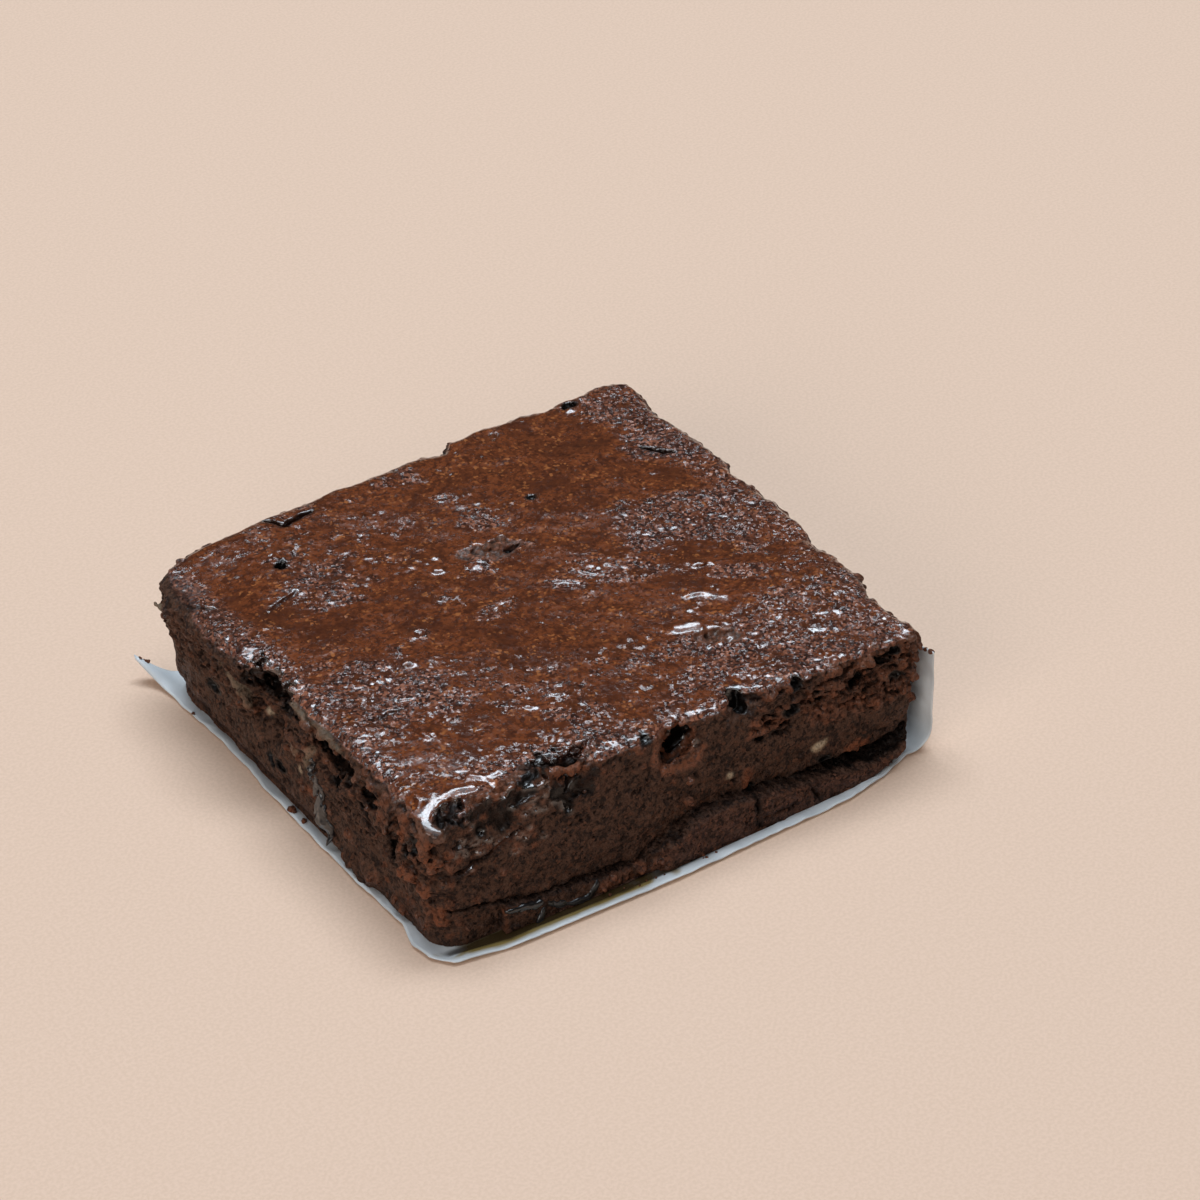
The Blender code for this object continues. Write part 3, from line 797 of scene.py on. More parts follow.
def bevel_edge(clay):
    """Cuts back the front edge at its left, where the crust broke away from the crumb."""
    x, y, z = clay.grid()
    away = smooth(np.abs(x + 26.5), 9.5, 13.5) * 4.2
    ragged = 0.9 * layered(x[:, :, 0] / 3.0, y[:, :, 0] / 3.0, 401, 3)[:, :, None]
    slope = (-0.53 * (y + 32.8) + 0.85 * (z - 22.2) - away + ragged).astype(np.float32)
    changed = slope > clay.depth + 0.02
    clay.paint["wet"][changed] = 0.25
    near = smooth(slope, -0.6, 0.0) * smooth(-away, -2.0, -0.5) * smooth(z, 16.5, 18.0)
    clay.paint["torn"] = np.maximum(clay.paint["torn"], near.astype(np.float32))
    clay.depth = np.maximum(clay.depth, slope)


def roll_corner(clay):
    """Rounds off the crust over the front left corner, where it is thick and glossy."""
    x, y, z = clay.grid()
    out_x, out_y = np.maximum(-34.4 - x, 0.0), np.maximum(-31.2 - y, 0.0)
    beyond = np.maximum(np.hypot(out_x, out_y) - 1.7, 0.0)
    above = np.maximum(z - (22.1 - 4.0), 0.0)
    rolled = (np.sqrt(beyond**2 + above**2) - 4.0).astype(np.float32)
    rolled = np.where((x < -30.0) & (y < -27.0), rolled, -9.0)
    clay.depth = np.maximum(clay.depth, rolled)
    glossy = smooth(rolled, -0.7, -0.2) * smooth(z, 19.0, 20.0)
    clay.paint["wet"] = np.maximum(clay.paint["wet"], glossy.astype(np.float32))


def lift_tip(clay):
    """Hollows the squeezed bottom crust at its right end, which lifts off the paper."""
    x, y, z = clay.grid()
    floor = np.interp(x, (29.0, 34.0, 36.0, 38.0, 40.0, 43.0), (0.0, 1.6, 2.5, 3.5, 4.5, 5.6))
    under = np.minimum(floor - z, -37.4 - y).astype(np.float32)
    clay.depth = np.maximum(clay.depth, under)


def add_bubble(clay, random):
    """The burst bubble near the top of the front: a bowl with a torn rim, a wet pit painted near
    black as shade, and painted shadow inside the bowl under its upper right rim.
    """
    # The bowl's red is torn crumb's colour, and in part painted light on its lit inner wall
    bowl = {"red": 0.85, "wet": 0.2, "painted_shade": 0.0}
    clay.carve("front", -0.4, 18.0, 4.0, 3.2, 1.5, 10.0, 0.0, paint=bowl)
    # The pit, painted near black as shade
    clay.carve("front", 0.5, 17.0, 2.5, 1.9, 0.8, -10.0, 0.0, paint={"painted_shade": 1.0, "wet": 1.2})
    # Painted shadow inside the bowl under its upper right rim
    clay.carve("front", 1.9, 18.6, 1.6, 1.2, 0.8, 0.0, 0.0, paint={"painted_shade": 0.9})
    for angle in np.arange(90.0, 340.0, 13.0):
        turned = math.radians(angle)
        size = random.uniform(0.35, 0.65)
        place = (-0.4 + 4.1 * math.cos(turned), 18.0 + 3.3 * math.sin(turned))
        clay.press_on("front", *place, size, 0.8 * size, size, angle, 0.1, paint=bowl)
    clay.press_on("front", 2.4, 17.7, 0.5, 0.35, 0.4, 0.0, 0.1, paint={"wet": 1.6})


def add_blisters(clay):
    for x, y, half_long, half_wide, turn in BLISTERS:
        clay.press_on("top", x, y, half_long, half_wide, 0.42, turn, 0.05, paint={"wet": 0.15})
        inner = (half_long - 0.45, half_wide - 0.4, 0.4)
        clay.carve("top", x, y, *inner, turn, -0.05, paint={"wet": 0.2}, blend=0.1)


def add_beads(clay):
    random = np.random.default_rng(10)
    for at_x, at_y, half_long, half_wide, turn, count, size in BEAD_CLUSTERS:
        cos, sin = math.cos(math.radians(turn)), math.sin(math.radians(turn))
        for _ in range(count):
            reach, angle = math.sqrt(random.uniform()), random.uniform(0.0, 2.0 * math.pi)
            along = half_long * reach * math.cos(angle)
            across = half_wide * reach * math.sin(angle)
            half = 0.52 * size**1.2 * random.uniform(0.5, 1.4)
            glint = 0.0 if size > 0.75 else 1.0
            clay.press_on(
                "top",
                at_x + cos * along - sin * across,
                at_y + sin * along + cos * across,
                half,
                half * random.uniform(0.6, 0.95),
                0.42 * half,
                random.uniform(-60.0, -10.0),
                0.02,
                paint={"wet": 1.1, "glint": glint},
                blend=0.2,
                wobble=0.1,
            )


def add_rims(clay):
    """Smooth ridges where thick syrupy crust rolls over, all leaning to the front left."""
    for path, height, half_wide, roundness in GLOSSY_RIMS:
        reach = half_wide + 0.6
        window = []
        for axis in range(2):
            places = [point[axis] for point in path]
            low = clay.index(axis, min(places) - reach)
            window.append(slice(low, clay.index(axis, max(places) + reach)))
        window = tuple(window)
        x, y, z = clay.axes[0][window[0]][:, None], clay.axes[1][window[1]][None, :], clay.axes[2]
        away = np.full(np.broadcast(x, y).shape, 99.0)
        for (from_x, from_y), (to_x, to_y) in zip(path, path[1:]):
            run_x, run_y = to_x - from_x, to_y - from_y
            share = ((x - from_x) * run_x + (y - from_y) * run_y) / (run_x**2 + run_y**2)
            share = np.clip(share, 0.0, 1.0)
            step = np.hypot(x - from_x - share * run_x, y - from_y - share * run_y)
            away = np.minimum(away, step)
        level = height + RIM_CLIMB[0] * (x - path[0][0]) + RIM_CLIMB[1] * (y - path[0][1])
        level = level - away**2 / (2.0 * roundness) + 0.08 * layered(x / 1.4, y / 1.4, 501, 2)
        rim = 0.95 * (z[None, None, :] - level[:, :, None])
        cover = smooth(half_wide - away, -0.6, 0.3)[:, :, None] * smooth(rim, -1.6, -0.8)
        clay.depth[window] = mix(clay.depth[window], rim, cover)
        rim_paint = {"wet": 1.1, "torn": 0.0, "painted_shade": 0.0, "red": 0.0, "glint": 0.0}
        for name, amount in rim_paint.items():
            area = clay.paint[name][window]
            area[...] = mix(area, amount, cover)


# How a place looks where the crust came off, and the near black painted shade inside a hollow and
# inside a hole
BROKEN = {"torn": 0.5, "red": 1.0, "wet": 0.1, "pale_and_sheen": 0.05, "glint": 0.0}
SHADE = {"red": 0.0, "pale_and_sheen": 0.0, "painted_shade": 0.9}
VOID = {"red": 0.0, "pale_and_sheen": 0.0, "painted_shade": 1.0, "wet": 0.2, "glint": 0.0}


def add_features(clay):
    random = np.random.default_rng(8)
    add_gaps(clay, random)
    lift_tip(clay)
    # The torn hollows are painted near black as shade.
    hollows = [clay.form(*form, wobble=1.2) for form in TORN_HOLLOWS]
    for form in TORN_HOLLOWS:
        clay.carve(*form, paint={"painted_shade": 0.9, "wet": 0.1}, wobble=1.2, blend=0.1)
    # Ridges pressed on the torn faces, with a painted sheen
    for *form, pale_and_sheen in SHEEN_RIDGES:
        clay.press_on(*form, paint={"pale_and_sheen": pale_and_sheen, "painted_shade": 0.0}, wobble=1.2)
    clay.carve("top", 0.6, 12.2, 4.6, 1.9, 0.7, -18.0, 0.0, paint=BROKEN, wobble=1.5)
    clay.carve("top", 16.0, -22.6, 3.6, 1.6, 0.6, -25.0, 0.0, paint=BROKEN, wobble=1.5)
    add_crumbs(clay)
    # Painted shade again over the hollows and the crumbs that lie in them
    for slices, distance in hollows:
        clay.colour(slices, distance + 0.5, SHADE)
    for crack in CRACKS:
        carve_crack(clay, *crack, random)
    for form in HOLES:
        clay.carve(*form, paint=VOID, wobble=0.8)
    add_blisters(clay)
    add_bubble(clay, random)
    hollow = {"wet": 1.0}
    clay.carve("top", 19.3, -15.6, 3.4, 1.8, 0.4, -40.0, -0.2, paint=hollow, blend=0.5, wobble=0.1)
    clay.press_on("front", 10.3, 19.4, 0.7, 2.2, 0.7, 15.0, 0.1, paint={"wet": 0.6, "red": 0.3})
    for form in WET_FORMS:
        clay.press_on(*form, paint={"wet": 1.0}, blend=0.5, wobble=0.1)
    for form in RED_FORMS:
        clay.press_on(*form, paint={"red": 0.9, "painted_shade": 0.0}, wobble=1.2)
    add_beads(clay)
    for form in PALE_FORMS:
        clay.press_on(*form, paint={"pale_and_sheen": 1.0}, wobble=0.8)
    add_rims(clay)


# --------------------------------------------------------------------------------- meshing


def new_mesh_object(name, points, faces):
    mesh = bpy.data.meshes.new(name)
    mesh.from_pydata([], [], [])
    mesh.vertices.add(len(points))
    mesh.vertices.foreach_set("co", np.asarray(points, np.float32).ravel())
    sizes = np.full(len(faces), faces.shape[1], np.int32)
    mesh.loops.add(int(sizes.sum()))
    mesh.loops.foreach_set("vertex_index", faces.astype(np.int32).ravel())
    mesh.polygons.add(len(faces))
    starts = np.concatenate(([0], np.cumsum(sizes)[:-1])).astype(np.int32)
    mesh.polygons.foreach_set("loop_start", starts)
    mesh.polygons.foreach_set("use_smooth", np.ones(len(faces), bool))
    mesh.update(calc_edges=True)
    mesh.validate()
    piece = bpy.data.objects.new(name, mesh)
    bpy.context.scene.collection.objects.link(piece)
    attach(piece, "root")
    return piece


def set_mask(piece, name, values):
    attribute = piece.data.attributes.new(name, "FLOAT", "POINT")
    attribute.data.foreach_set("value", np.asarray(values, np.float32))


def point_normals(points, faces):
    """Each point's normal, from the faces around it."""
    across = points[faces[:, 2]] - points[faces[:, 0]]
    other = points[faces[:, 3]] - points[faces[:, 1]]
    normal = np.cross(across, other)
    total = np.zeros_like(points)
    for corner in range(4):
        np.add.at(total, faces[:, corner], normal)
    return total / np.maximum(np.linalg.norm(total, axis=1), 1e-12)[:, None]


def settle(points):
    """Lowers the foot of the block on to the thin paper, and moves all into the frame."""
    placed = points + SQUARE_MIDDLE
    drop = FOOT_DROP * (1.0 - smooth(placed[:, 2], BASE, BASE + 3.0))
    placed[:, 2] = np.maximum(placed[:, 2] - drop, LOWEST)
    return placed * MM


def block_pieces(clay, crust_skin, materials):
    """Meshes the clay, and parts it into the crust's two halves and four crumb faces."""
    points, faces = clay.surface()
    middle = points[faces].mean(axis=1)
    faces = faces[middle[:, 2] > BASE + 0.13]
    middle = points[faces].mean(axis=1)
    normals = point_normals(points, faces)
    if normals[np.argmax(points[:, 2]), 2] < 0.0:
        faces, normals = faces[:, ::-1], -normals
    softened = blurred(clay.depth, 5)
    masks = {name: clay.read(field, points) for name, field in clay.paint.items()}
    # Above 0 where the surface bulges out and below 0 where it dips in: it drives painted shade in
    # hollows and a painted highlight on ridges
    masks["curvature_shading"] = np.clip(clay.read(softened, points) / 0.3, -1.0, 1.0)
    masks["skin"] = clay.read(crust_skin, points) * (1.0 - masks.pop("torn"))
    is_crust = (masks["skin"][faces].mean(axis=1) > 0.5) & (middle[:, 2] > 14.0)
    lean_x, lean_y = middle[:, 0] / 40.0, middle[:, 1] / 37.5
    sector = np.where(
        np.abs(lean_x) > np.abs(lean_y),
        np.where(lean_x < 0.0, 1, 2),
        np.where(lean_y < 0.0, 0, 3),
    )
    names = ("crumb_front", "crumb_left", "crumb_right", "crumb_back")
    near = middle[:, 1] < 0.0
    groups = [("crust_near", is_crust & near), ("crust_far", is_crust & ~near)]
    groups += [(name, ~is_crust & (sector == i)) for i, name in enumerate(names)]
    placed = settle(points)
    pieces = []
    for name, chosen in groups:
        used, corners = np.unique(faces[chosen], return_inverse=True)
        slot = name.split("_")[0]
        piece = new_mesh_object(name, placed[used], corners.reshape(-1, 4))
        piece.data.normals_split_custom_set_from_vertices(normals[used].astype(np.float32))
        for mask, values in masks.items():
            set_mask(piece, mask, values[used])
        piece.data.materials.append(materials[slot])
        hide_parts("brownie")
        pieces.append(piece)
    pieces.append(underside(placed, faces, materials["crumb"]))
    return pieces


def underside(placed, faces, material):
    """The foot of the block, which closes the open rim that the other pieces leave there."""
    edges = np.concatenate([faces[:, [i, (i + 1) % 4]] for i in range(4)])
    edges, times = np.unique(np.sort(edges, axis=1), axis=0, return_counts=True)
    used, ends = np.unique(edges[times == 1], return_inverse=True)
    work = bmesh.new()
    corners = [work.verts.new(place) for place in placed[used]]
    for start, end in ends.reshape(-1, 2):
        work.edges.new((corners[start], corners[end]))
    bmesh.ops.triangle_fill(work, use_beauty=True, edges=work.edges, normal=(0.0, 0.0, -1.0))
    work.verts.index_update()
    triangles = np.array([[corner.index for corner in face.verts] for face in work.faces])
    points = np.array([corner.co for corner in work.verts])
    work.free()
    piece = new_mesh_object("crumb_foot", points, triangles)
    piece.data.materials.append(material)
    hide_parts("brownie")
    return piece


# ------------------------------------------------------------------------------- materials


class Nodes:
    """Builds a material's nodes with short calls."""

    def __init__(self, name):
        self.material = bpy.data.materials.new(name)
        self.material.use_nodes = True
        self.tree = self.material.node_tree
        self.shader = self.tree.nodes["Principled BSDF"]
        self.place = self.tree.nodes.new("ShaderNodeTexCoord").outputs["Object"]

    def plug(self, socket, value):
        if isinstance(value, bpy.types.NodeSocket):
            self.tree.links.new(value, socket)
        else:
            socket.default_value = value

    def math(self, operation, a, b=0.0, clamp=False):
        node = self.tree.nodes.new("ShaderNodeMath")
        node.operation = operation
        node.use_clamp = clamp
        self.plug(node.inputs[0], a)
        self.plug(node.inputs[1], b)
        return node.outputs[0]

    def remap(self, value, low, high, to_low=0.0, to_high=1.0):
        node = self.tree.nodes.new("ShaderNodeMapRange")
        node.interpolation_type = "SMOOTHSTEP"
        settings = {"Value": value, "From Min": low, "From Max": high}
        settings.update({"To Min": to_low, "To Max": to_high})
        for name, setting in settings.items():
            self.plug(node.inputs[name], setting)
        return node.outputs["Result"]

    def noise(self, size, detail=2.0, roughness=0.5, stretch=(1.0, 1.0, 1.0)):
        """Noise whose features are about size millimetres wide."""
        scaled = self.tree.nodes.new("ShaderNodeMapping")
        scaled.inputs["Scale"].default_value = [1.0 / (MM * size * s) for s in stretch]
        self.plug(scaled.inputs["Vector"], self.place)
        node = self.tree.nodes.new("ShaderNodeTexNoise")
        self.plug(node.inputs["Vector"], scaled.outputs[0])
        node.inputs["Scale"].default_value = 1.0
        node.inputs["Detail"].default_value = detail
        node.inputs["Roughness"].default_value = roughness
        return node.outputs["Fac"]

    def vector(self, operation, a, b):
        node = self.tree.nodes.new("ShaderNodeVectorMath")
        node.operation = operation
        self.plug(node.inputs[0], a)
        self.plug(node.inputs[1], b)
        return node.outputs["Value" if operation == "DOT_PRODUCT" else "Vector"]

    def grains(self, size):
        """Small grains: the height of flat facets, each tilted its own way, and their tones."""
        node = self.tree.nodes.new("ShaderNodeTexVoronoi")
        self.plug(node.inputs["Vector"], self.place)
        node.inputs["Scale"].default_value = 1.0 / (MM * size)
        away = self.vector("SUBTRACT", self.place, node.outputs["Position"])
        lean = self.vector("SUBTRACT", node.outputs["Color"], (0.5, 0.5, 0.5))
        tone = self.vector("DOT_PRODUCT", node.outputs["Color"], (0.0, 0.0, 1.0))
        return self.vector("DOT_PRODUCT", away, lean), tone

    def mask(self, name):
        node = self.tree.nodes.new("ShaderNodeAttribute")
        node.attribute_name = name
        return node.outputs["Fac"]

    def blend(self, a, b, share):
        node = self.tree.nodes.new("ShaderNodeMix")
        node.data_type = "RGBA"
        self.plug(node.inputs[0], share)
        self.plug(node.inputs[6], a)
        self.plug(node.inputs[7], b)
        return node.outputs[2]

    def bump(self, height, distance, under=None, strength=1.0):
        node = self.tree.nodes.new("ShaderNodeBump")
        node.inputs["Distance"].default_value = distance * MM
        self.plug(node.inputs["Strength"], strength)
        self.plug(node.inputs["Height"], height)
        if under is not None:
            self.plug(node.inputs["Normal"], under)
        return node.outputs["Normal"]

    def finish(self, **inputs):
        for name, value in inputs.items():
            self.plug(self.shader.inputs[name.replace("_", " ")], value)
        return self.material


def linear(red, green, blue):
    """A colour as it looks on screen, from 0 to 255, as light."""
    parts = (c / 255.0 for c in (red, green, blue))
    light = [c / 12.92 if c <= 0.04045 else ((c + 0.055) / 1.055) ** 2.4 for c in parts]
    return (*light, 1.0)


WET_CRUST = linear(120, 60, 28)
WET_CRUST_DARK = linear(66, 26, 7)
WET_SPECK = linear(172, 106, 58)
DRY_CRUST = linear(102, 57, 42)
DRY_CRUST_DARK = linear(52, 26, 20)
DRY_CRUST_PALE = linear(170, 108, 82)
CRUMB = linear(82, 57, 45)
CRUMB_DARK = linear(40, 25, 19)
CRUMB_RED = linear(132, 78, 53)
# Near black painted shade for hollows, holes, cracks and gaps
PAINTED_SHADE_COLOUR = linear(14, 8, 6)
PALE_AND_SHEEN = linear(172, 152, 128)
GRAIN = 0.42
FACET_TILT = 1.1
COARSE_GRAIN = 0.62
COARSE_TILT = 0.8


def crust_colour(n, tone, wet, curvature_shading):
    """Syrupy brown and dry paler patches, both in fine grains of many tones, with painted shade in
    the hollows and a painted highlight on the ridges.
    """
    coarse = n.noise(2.6, 3.0, 0.6)
    mottle = n.math("ADD", tone, n.math("MULTIPLY", n.math("SUBTRACT", coarse, 0.5), 1.1))
    fine = n.noise(1.3, 4.0, 0.7)
    soft = n.math("ADD", n.math("MULTIPLY", tone, 0.28), n.math("MULTIPLY", fine, 1.3))
    broad = n.noise(6.0, 3.0, 0.6)
    brown = n.blend(WET_CRUST_DARK, WET_CRUST, n.remap(soft, 0.5, 1.04))
    brown = n.blend(brown, WET_CRUST_DARK, n.remap(broad, 0.46, 0.66, 0.0, 0.6))
    brown = n.blend(brown, WET_SPECK, n.remap(mottle, 0.9, 1.12, 0.0, 0.7))
    dull = n.blend(DRY_CRUST_DARK, DRY_CRUST, n.remap(mottle, 0.1, 0.6))
    dull = n.blend(dull, DRY_CRUST_PALE, n.remap(mottle, 0.6, 1.1, 0.0, 0.85))
    colour = n.blend(dull, brown, wet)
    # Painted shade in the hollows, and a painted highlight on the ridges
    colour = n.blend(colour, WET_CRUST_DARK, n.remap(curvature_shading, -0.1, -0.8, 0.0, 0.85))
    return n.blend(colour, DRY_CRUST_PALE, n.remap(curvature_shading, 0.2, 1.0, 0.0, 0.25))


def crumb_colour(n, tone, red, curvature_shading):
    """Near black crumb, redder where it is torn, with a painted red highlight where it stands out
    and painted shade in its hollows.
    """
    smears = n.math("ADD", n.noise(1.4, 5.0, 0.7), n.math("MULTIPLY", tone, 0.2))
    colour = n.blend(CRUMB_DARK, CRUMB, n.remap(smears, 0.46, 0.68))
    specks = n.math("MULTIPLY", n.remap(tone, 0.86, 0.98), 0.15)
    colour = n.blend(colour, CRUMB_RED, specks)
    # Painted highlight on the ridges
    colour = n.blend(colour, CRUMB_RED, n.remap(curvature_shading, 0.3, 1.0, 0.0, 0.2))
    red = n.math("MULTIPLY", red, n.remap(tone, 0.0, 0.6, 0.3, 0.8))
    colour = n.blend(colour, CRUMB_RED, red)
    # Painted shade in the hollows
    return n.blend(colour, CRUMB_DARK, n.remap(curvature_shading, -0.05, -0.7, 0.0, 0.9))


def food_material(name, shine):
    """The brownie's own look, crust and crumb, steered by the masks on its mesh."""
    n = Nodes(name)
    wet, curvature_shading = n.mask("wet"), n.mask("curvature_shading")
    skin = n.remap(n.mask("skin"), 0.2, 0.8)
    facets, tone = n.grains(GRAIN)
    dry = n.math("SUBTRACT", 1.0, wet, clamp=True)
    crust = crust_colour(n, tone, wet, curvature_shading)
    crumb = crumb_colour(n, tone, n.mask("red"), curvature_shading)
    colour = n.blend(crumb, crust, skin)
    # Pale flecks, and the painted sheen on the torn faces' ridges
    colour = n.blend(colour, PALE_AND_SHEEN, n.mask("pale_and_sheen"))
    # Painted shade: near black where hollows, holes, cracks and gaps are marked
    colour = n.blend(colour, PAINTED_SHADE_COLOUR, n.mask("painted_shade"))
    shell = n.remap(n.mask("skin"), 0.6, 0.9)
    rough_dry = n.math("ADD", n.math("MULTIPLY", shell, -0.42), 0.6)
    rough_wet = n.math("MULTIPLY", n.math("MINIMUM", wet, 1.0), 0.22)
    roughness = n.math("ADD", n.math("MULTIPLY", rough_dry, dry), rough_wet)
    strength = n.math("ADD", n.math("MULTIPLY", dry, 0.82), 0.18)
    under = n.bump(n.noise(0.9, 2.0, 0.6), 0.5, strength=strength)
    normal = n.bump(facets, FACET_TILT / MM, under, strength=strength)
    coarse_facets, _ = n.grains(COARSE_GRAIN)
    glint = n.mask("glint")
    normal = n.bump(coarse_facets, COARSE_TILT / MM, normal, strength=glint)
    gloss = n.math("ADD", n.math("MULTIPLY", wet, 0.6), n.math("MULTIPLY", glint, 0.4))
    gloss = n.math("ADD", gloss, n.math("MULTIPLY", n.math("MULTIPLY", dry, shell), 0.6))
    gloss = n.math("MINIMUM", gloss, 1.0)
    n.shader.inputs["Coat Roughness"].default_value = 0.1
    n.shader.inputs["Coat IOR"].default_value = 1.7
    n.shader.inputs["Specular IOR Level"].default_value = shine
    return n.finish(
        Base_Color=colour, Roughness=roughness, Normal=normal, Coat_Weight=gloss, IOR=1.6
    )


def paper_material():
    n = Nodes("baking_paper")
    fibre = n.noise(0.6, 4.0, 0.6)
    clouds = n.noise(7.0, 3.0, 0.55)
    colour = n.blend(linear(204, 209, 214), linear(228, 233, 238), n.remap(clouds, 0.3, 0.7))
    colour = n.blend(colour, linear(205, 203, 196), n.math("MULTIPLY", fibre, 0.4))
    oily = n.mask("oily")
    colour = n.blend(colour, linear(146, 120, 44), n.math("MULTIPLY", oily, 0.92))
    # Dark brown by the block's front foot
    colour = n.blend(colour, linear(40, 27, 16), n.math("MULTIPLY", n.mask("dark_by_foot"), 0.92))
    roughness = n.math("SUBTRACT", 0.5, n.math("MULTIPLY", oily, 0.25))
    normal = n.bump(fibre, 0.04, n.bump(clouds, 0.3, strength=0.5), 0.5)
    return n.finish(Base_Color=colour, Roughness=roughness, Normal=normal, IOR=1.5)


def syrup_material():
    n = Nodes("syrup")
    reflection_patches = n.noise(2.5, 2.0)
    # Near black syrup, with blue-grey patches of painted reflection
    colour = n.blend(linear(20, 16, 15), linear(36, 35, 39), n.remap(reflection_patches, 0.35, 0.7))
    normal = n.bump(n.noise(1.5, 2.0), 0.15, strength=0.4)
    n.shader.inputs["Coat Weight"].default_value = 0.5
    n.shader.inputs["Coat Roughness"].default_value = 0.05
    return n.finish(Base_Color=colour, Roughness=0.3, Normal=normal, IOR=1.45)


def floor_material():
    n = Nodes("floor")
    grain = n.noise(0.5, 1.0, 0.5)
    colour = n.blend(linear(226, 194, 170), linear(233, 201, 178), n.remap(grain, 0.3, 0.7))
    normal = n.bump(grain, 0.05, strength=0.5)
    return n.finish(Base_Color=colour, Roughness=0.9, Normal=normal)


# ----------------------------------------------------------------------------------- paper

PAPER_FRONT = (
    (-41.0, -36.4),
    (-39.0, -39.4),
    (-30.0, -41.0),
    (-4.0, -41.9),
    (26.0, -41.4),
    (33.0, -40.0),
    (38.5, -38.1),
    (43.0, -38.3),
)
PAPER_LEFT_X = -41.0
# How far the left edge strays outwards, in (y, distance)
PAPER_LEFT_STRAY = (
    (-36.4, 0.4),
    (-33.0, 0.9),
    (-28.5, -0.3),
    (-18.0, 0.2),
    (5.0, 0.2),
    (20.0, -0.3),
    (34.0, 0.5),
    (38.4, 0.3),
)
PAPER_BACK_Y = 38.4
PAPER_TIP = (-43.4, 41.2, 4.0)
TIP_REACH = 5.5
FLAP_X = 43.0
FLAP_BEND = 3.5
FLAP_NEAR = 17.0
FLAP_FAR = 11.0
PAPER_THICKNESS = 0.1
PAPER_COLUMNS = 210
PAPER_ROWS = 190


def paper_sheet():
    """The sheet's points: flat under the block, its right end bent up to stand as a flap."""
    arc = FLAP_BEND * math.pi / 2
    flat = FLAP_X - FLAP_BEND - PAPER_LEFT_X
    row = np.linspace(0.0, 1.0, PAPER_ROWS)[None, :]
    share = np.linspace(0.0, 1.0, PAPER_COLUMNS)[:, None]
    length = share * (flat + arc + FLAP_NEAR - FLAP_BEND)
    bend = np.clip(length - flat, 0.0, arc) / FLAP_BEND
    climb = np.maximum(length - flat - arc, 0.0)
    climb = climb * mix(1.0, (FLAP_FAR - FLAP_BEND) / (FLAP_NEAR - FLAP_BEND), row)
    x = PAPER_LEFT_X + np.minimum(length, flat) + FLAP_BEND * np.sin(bend)
    x = x - 0.05 * climb**2 / FLAP_NEAR
    z = FLAP_BEND * (1.0 - np.cos(bend)) + climb
    front = np.interp(x, *zip(*PAPER_FRONT))
    y = mix(front, PAPER_BACK_Y, row)
    x, z = np.broadcast_to(x, y.shape), np.broadcast_to(z, y.shape)
    return x, y, z, np.broadcast_to(bend, y.shape)


def crinkled_paper(material):
    x, y, z, bend = paper_sheet()
    stray = np.interp(y, *zip(*PAPER_LEFT_STRAY)) + 0.25 * layered(y / 5.0, 0.0 * y, 331, 2)
    edge = np.minimum(x - PAPER_LEFT_X, y - np.interp(x, *zip(*PAPER_FRONT)))
    x = x - stray * smooth(-x, 38.0, 41.0)
    near = np.maximum(1.0 - np.sqrt((x + 41.0) ** 2 + (y - 38.4) ** 2 + z**2) / TIP_REACH, 0.0) ** 3
    x = x + (PAPER_TIP[0] + 41.0) * near
    y = y + (PAPER_TIP[1] - 38.4) * near
    z = z + PAPER_TIP[2] * near
    outside = smooth(2.6 - edge, 0.0, 2.2)
    folds = 1.0 - 2.0 * np.abs(layered((x + z) / 6.0, y / 7.0, 301, 2))
    lift = outside * (0.22 + 0.3 * np.clip(folds, 0.0, 1.0))
    z = z + 0.16 + lift
    stand = smooth(bend, 0.6, 1.5)
    x = x - stand * (0.25 + 0.5 * layered(y / 9.0, z / 7.0, 311, 3))
    points = np.stack([x, y, z], axis=-1).reshape(-1, 3) + SQUARE_MIDDLE
    index = np.arange(PAPER_COLUMNS * PAPER_ROWS).reshape(PAPER_COLUMNS, PAPER_ROWS)
    faces = np.stack([index[:-1, :-1], index[1:, :-1], index[1:, 1:], index[:-1, 1:]], axis=-1)
    sheet = new_mesh_object("paper_sheet", points * MM, faces.reshape(-1, 4))
    stain = 0.6 * layered(x / 4.0, y / 1.5, 321, 2)
    oily = smooth(1.1 - np.abs(x + 22.0) / 18.0 + stain, 0.0, 0.35) * smooth(-y, 36.0, 37.0)
    oily = oily * smooth(edge + 0.5 * stain, 0.5, 1.3)
    # A dark brown band on the paper by the block's front foot
    dark_by_foot = smooth(edge + 0.6 * stain, 1.6, 2.0) * smooth(-y, 36.0, 37.0)
    dark_by_foot = dark_by_foot * smooth(1.1 - np.abs(x + 18.0) / 24.0, 0.0, 0.3)
    set_mask(sheet, "oily", oily.ravel())
    set_mask(sheet, "dark_by_foot", dark_by_foot.ravel())
    thick = sheet.modifiers.new("thickness", "SOLIDIFY")
    thick.thickness = PAPER_THICKNESS * MM
    thick.offset = 0.0
    sheet.data.materials.append(material)
    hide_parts("baking_paper")
    return sheet


# ------------------------------------------------------------------------ syrup and crumbs

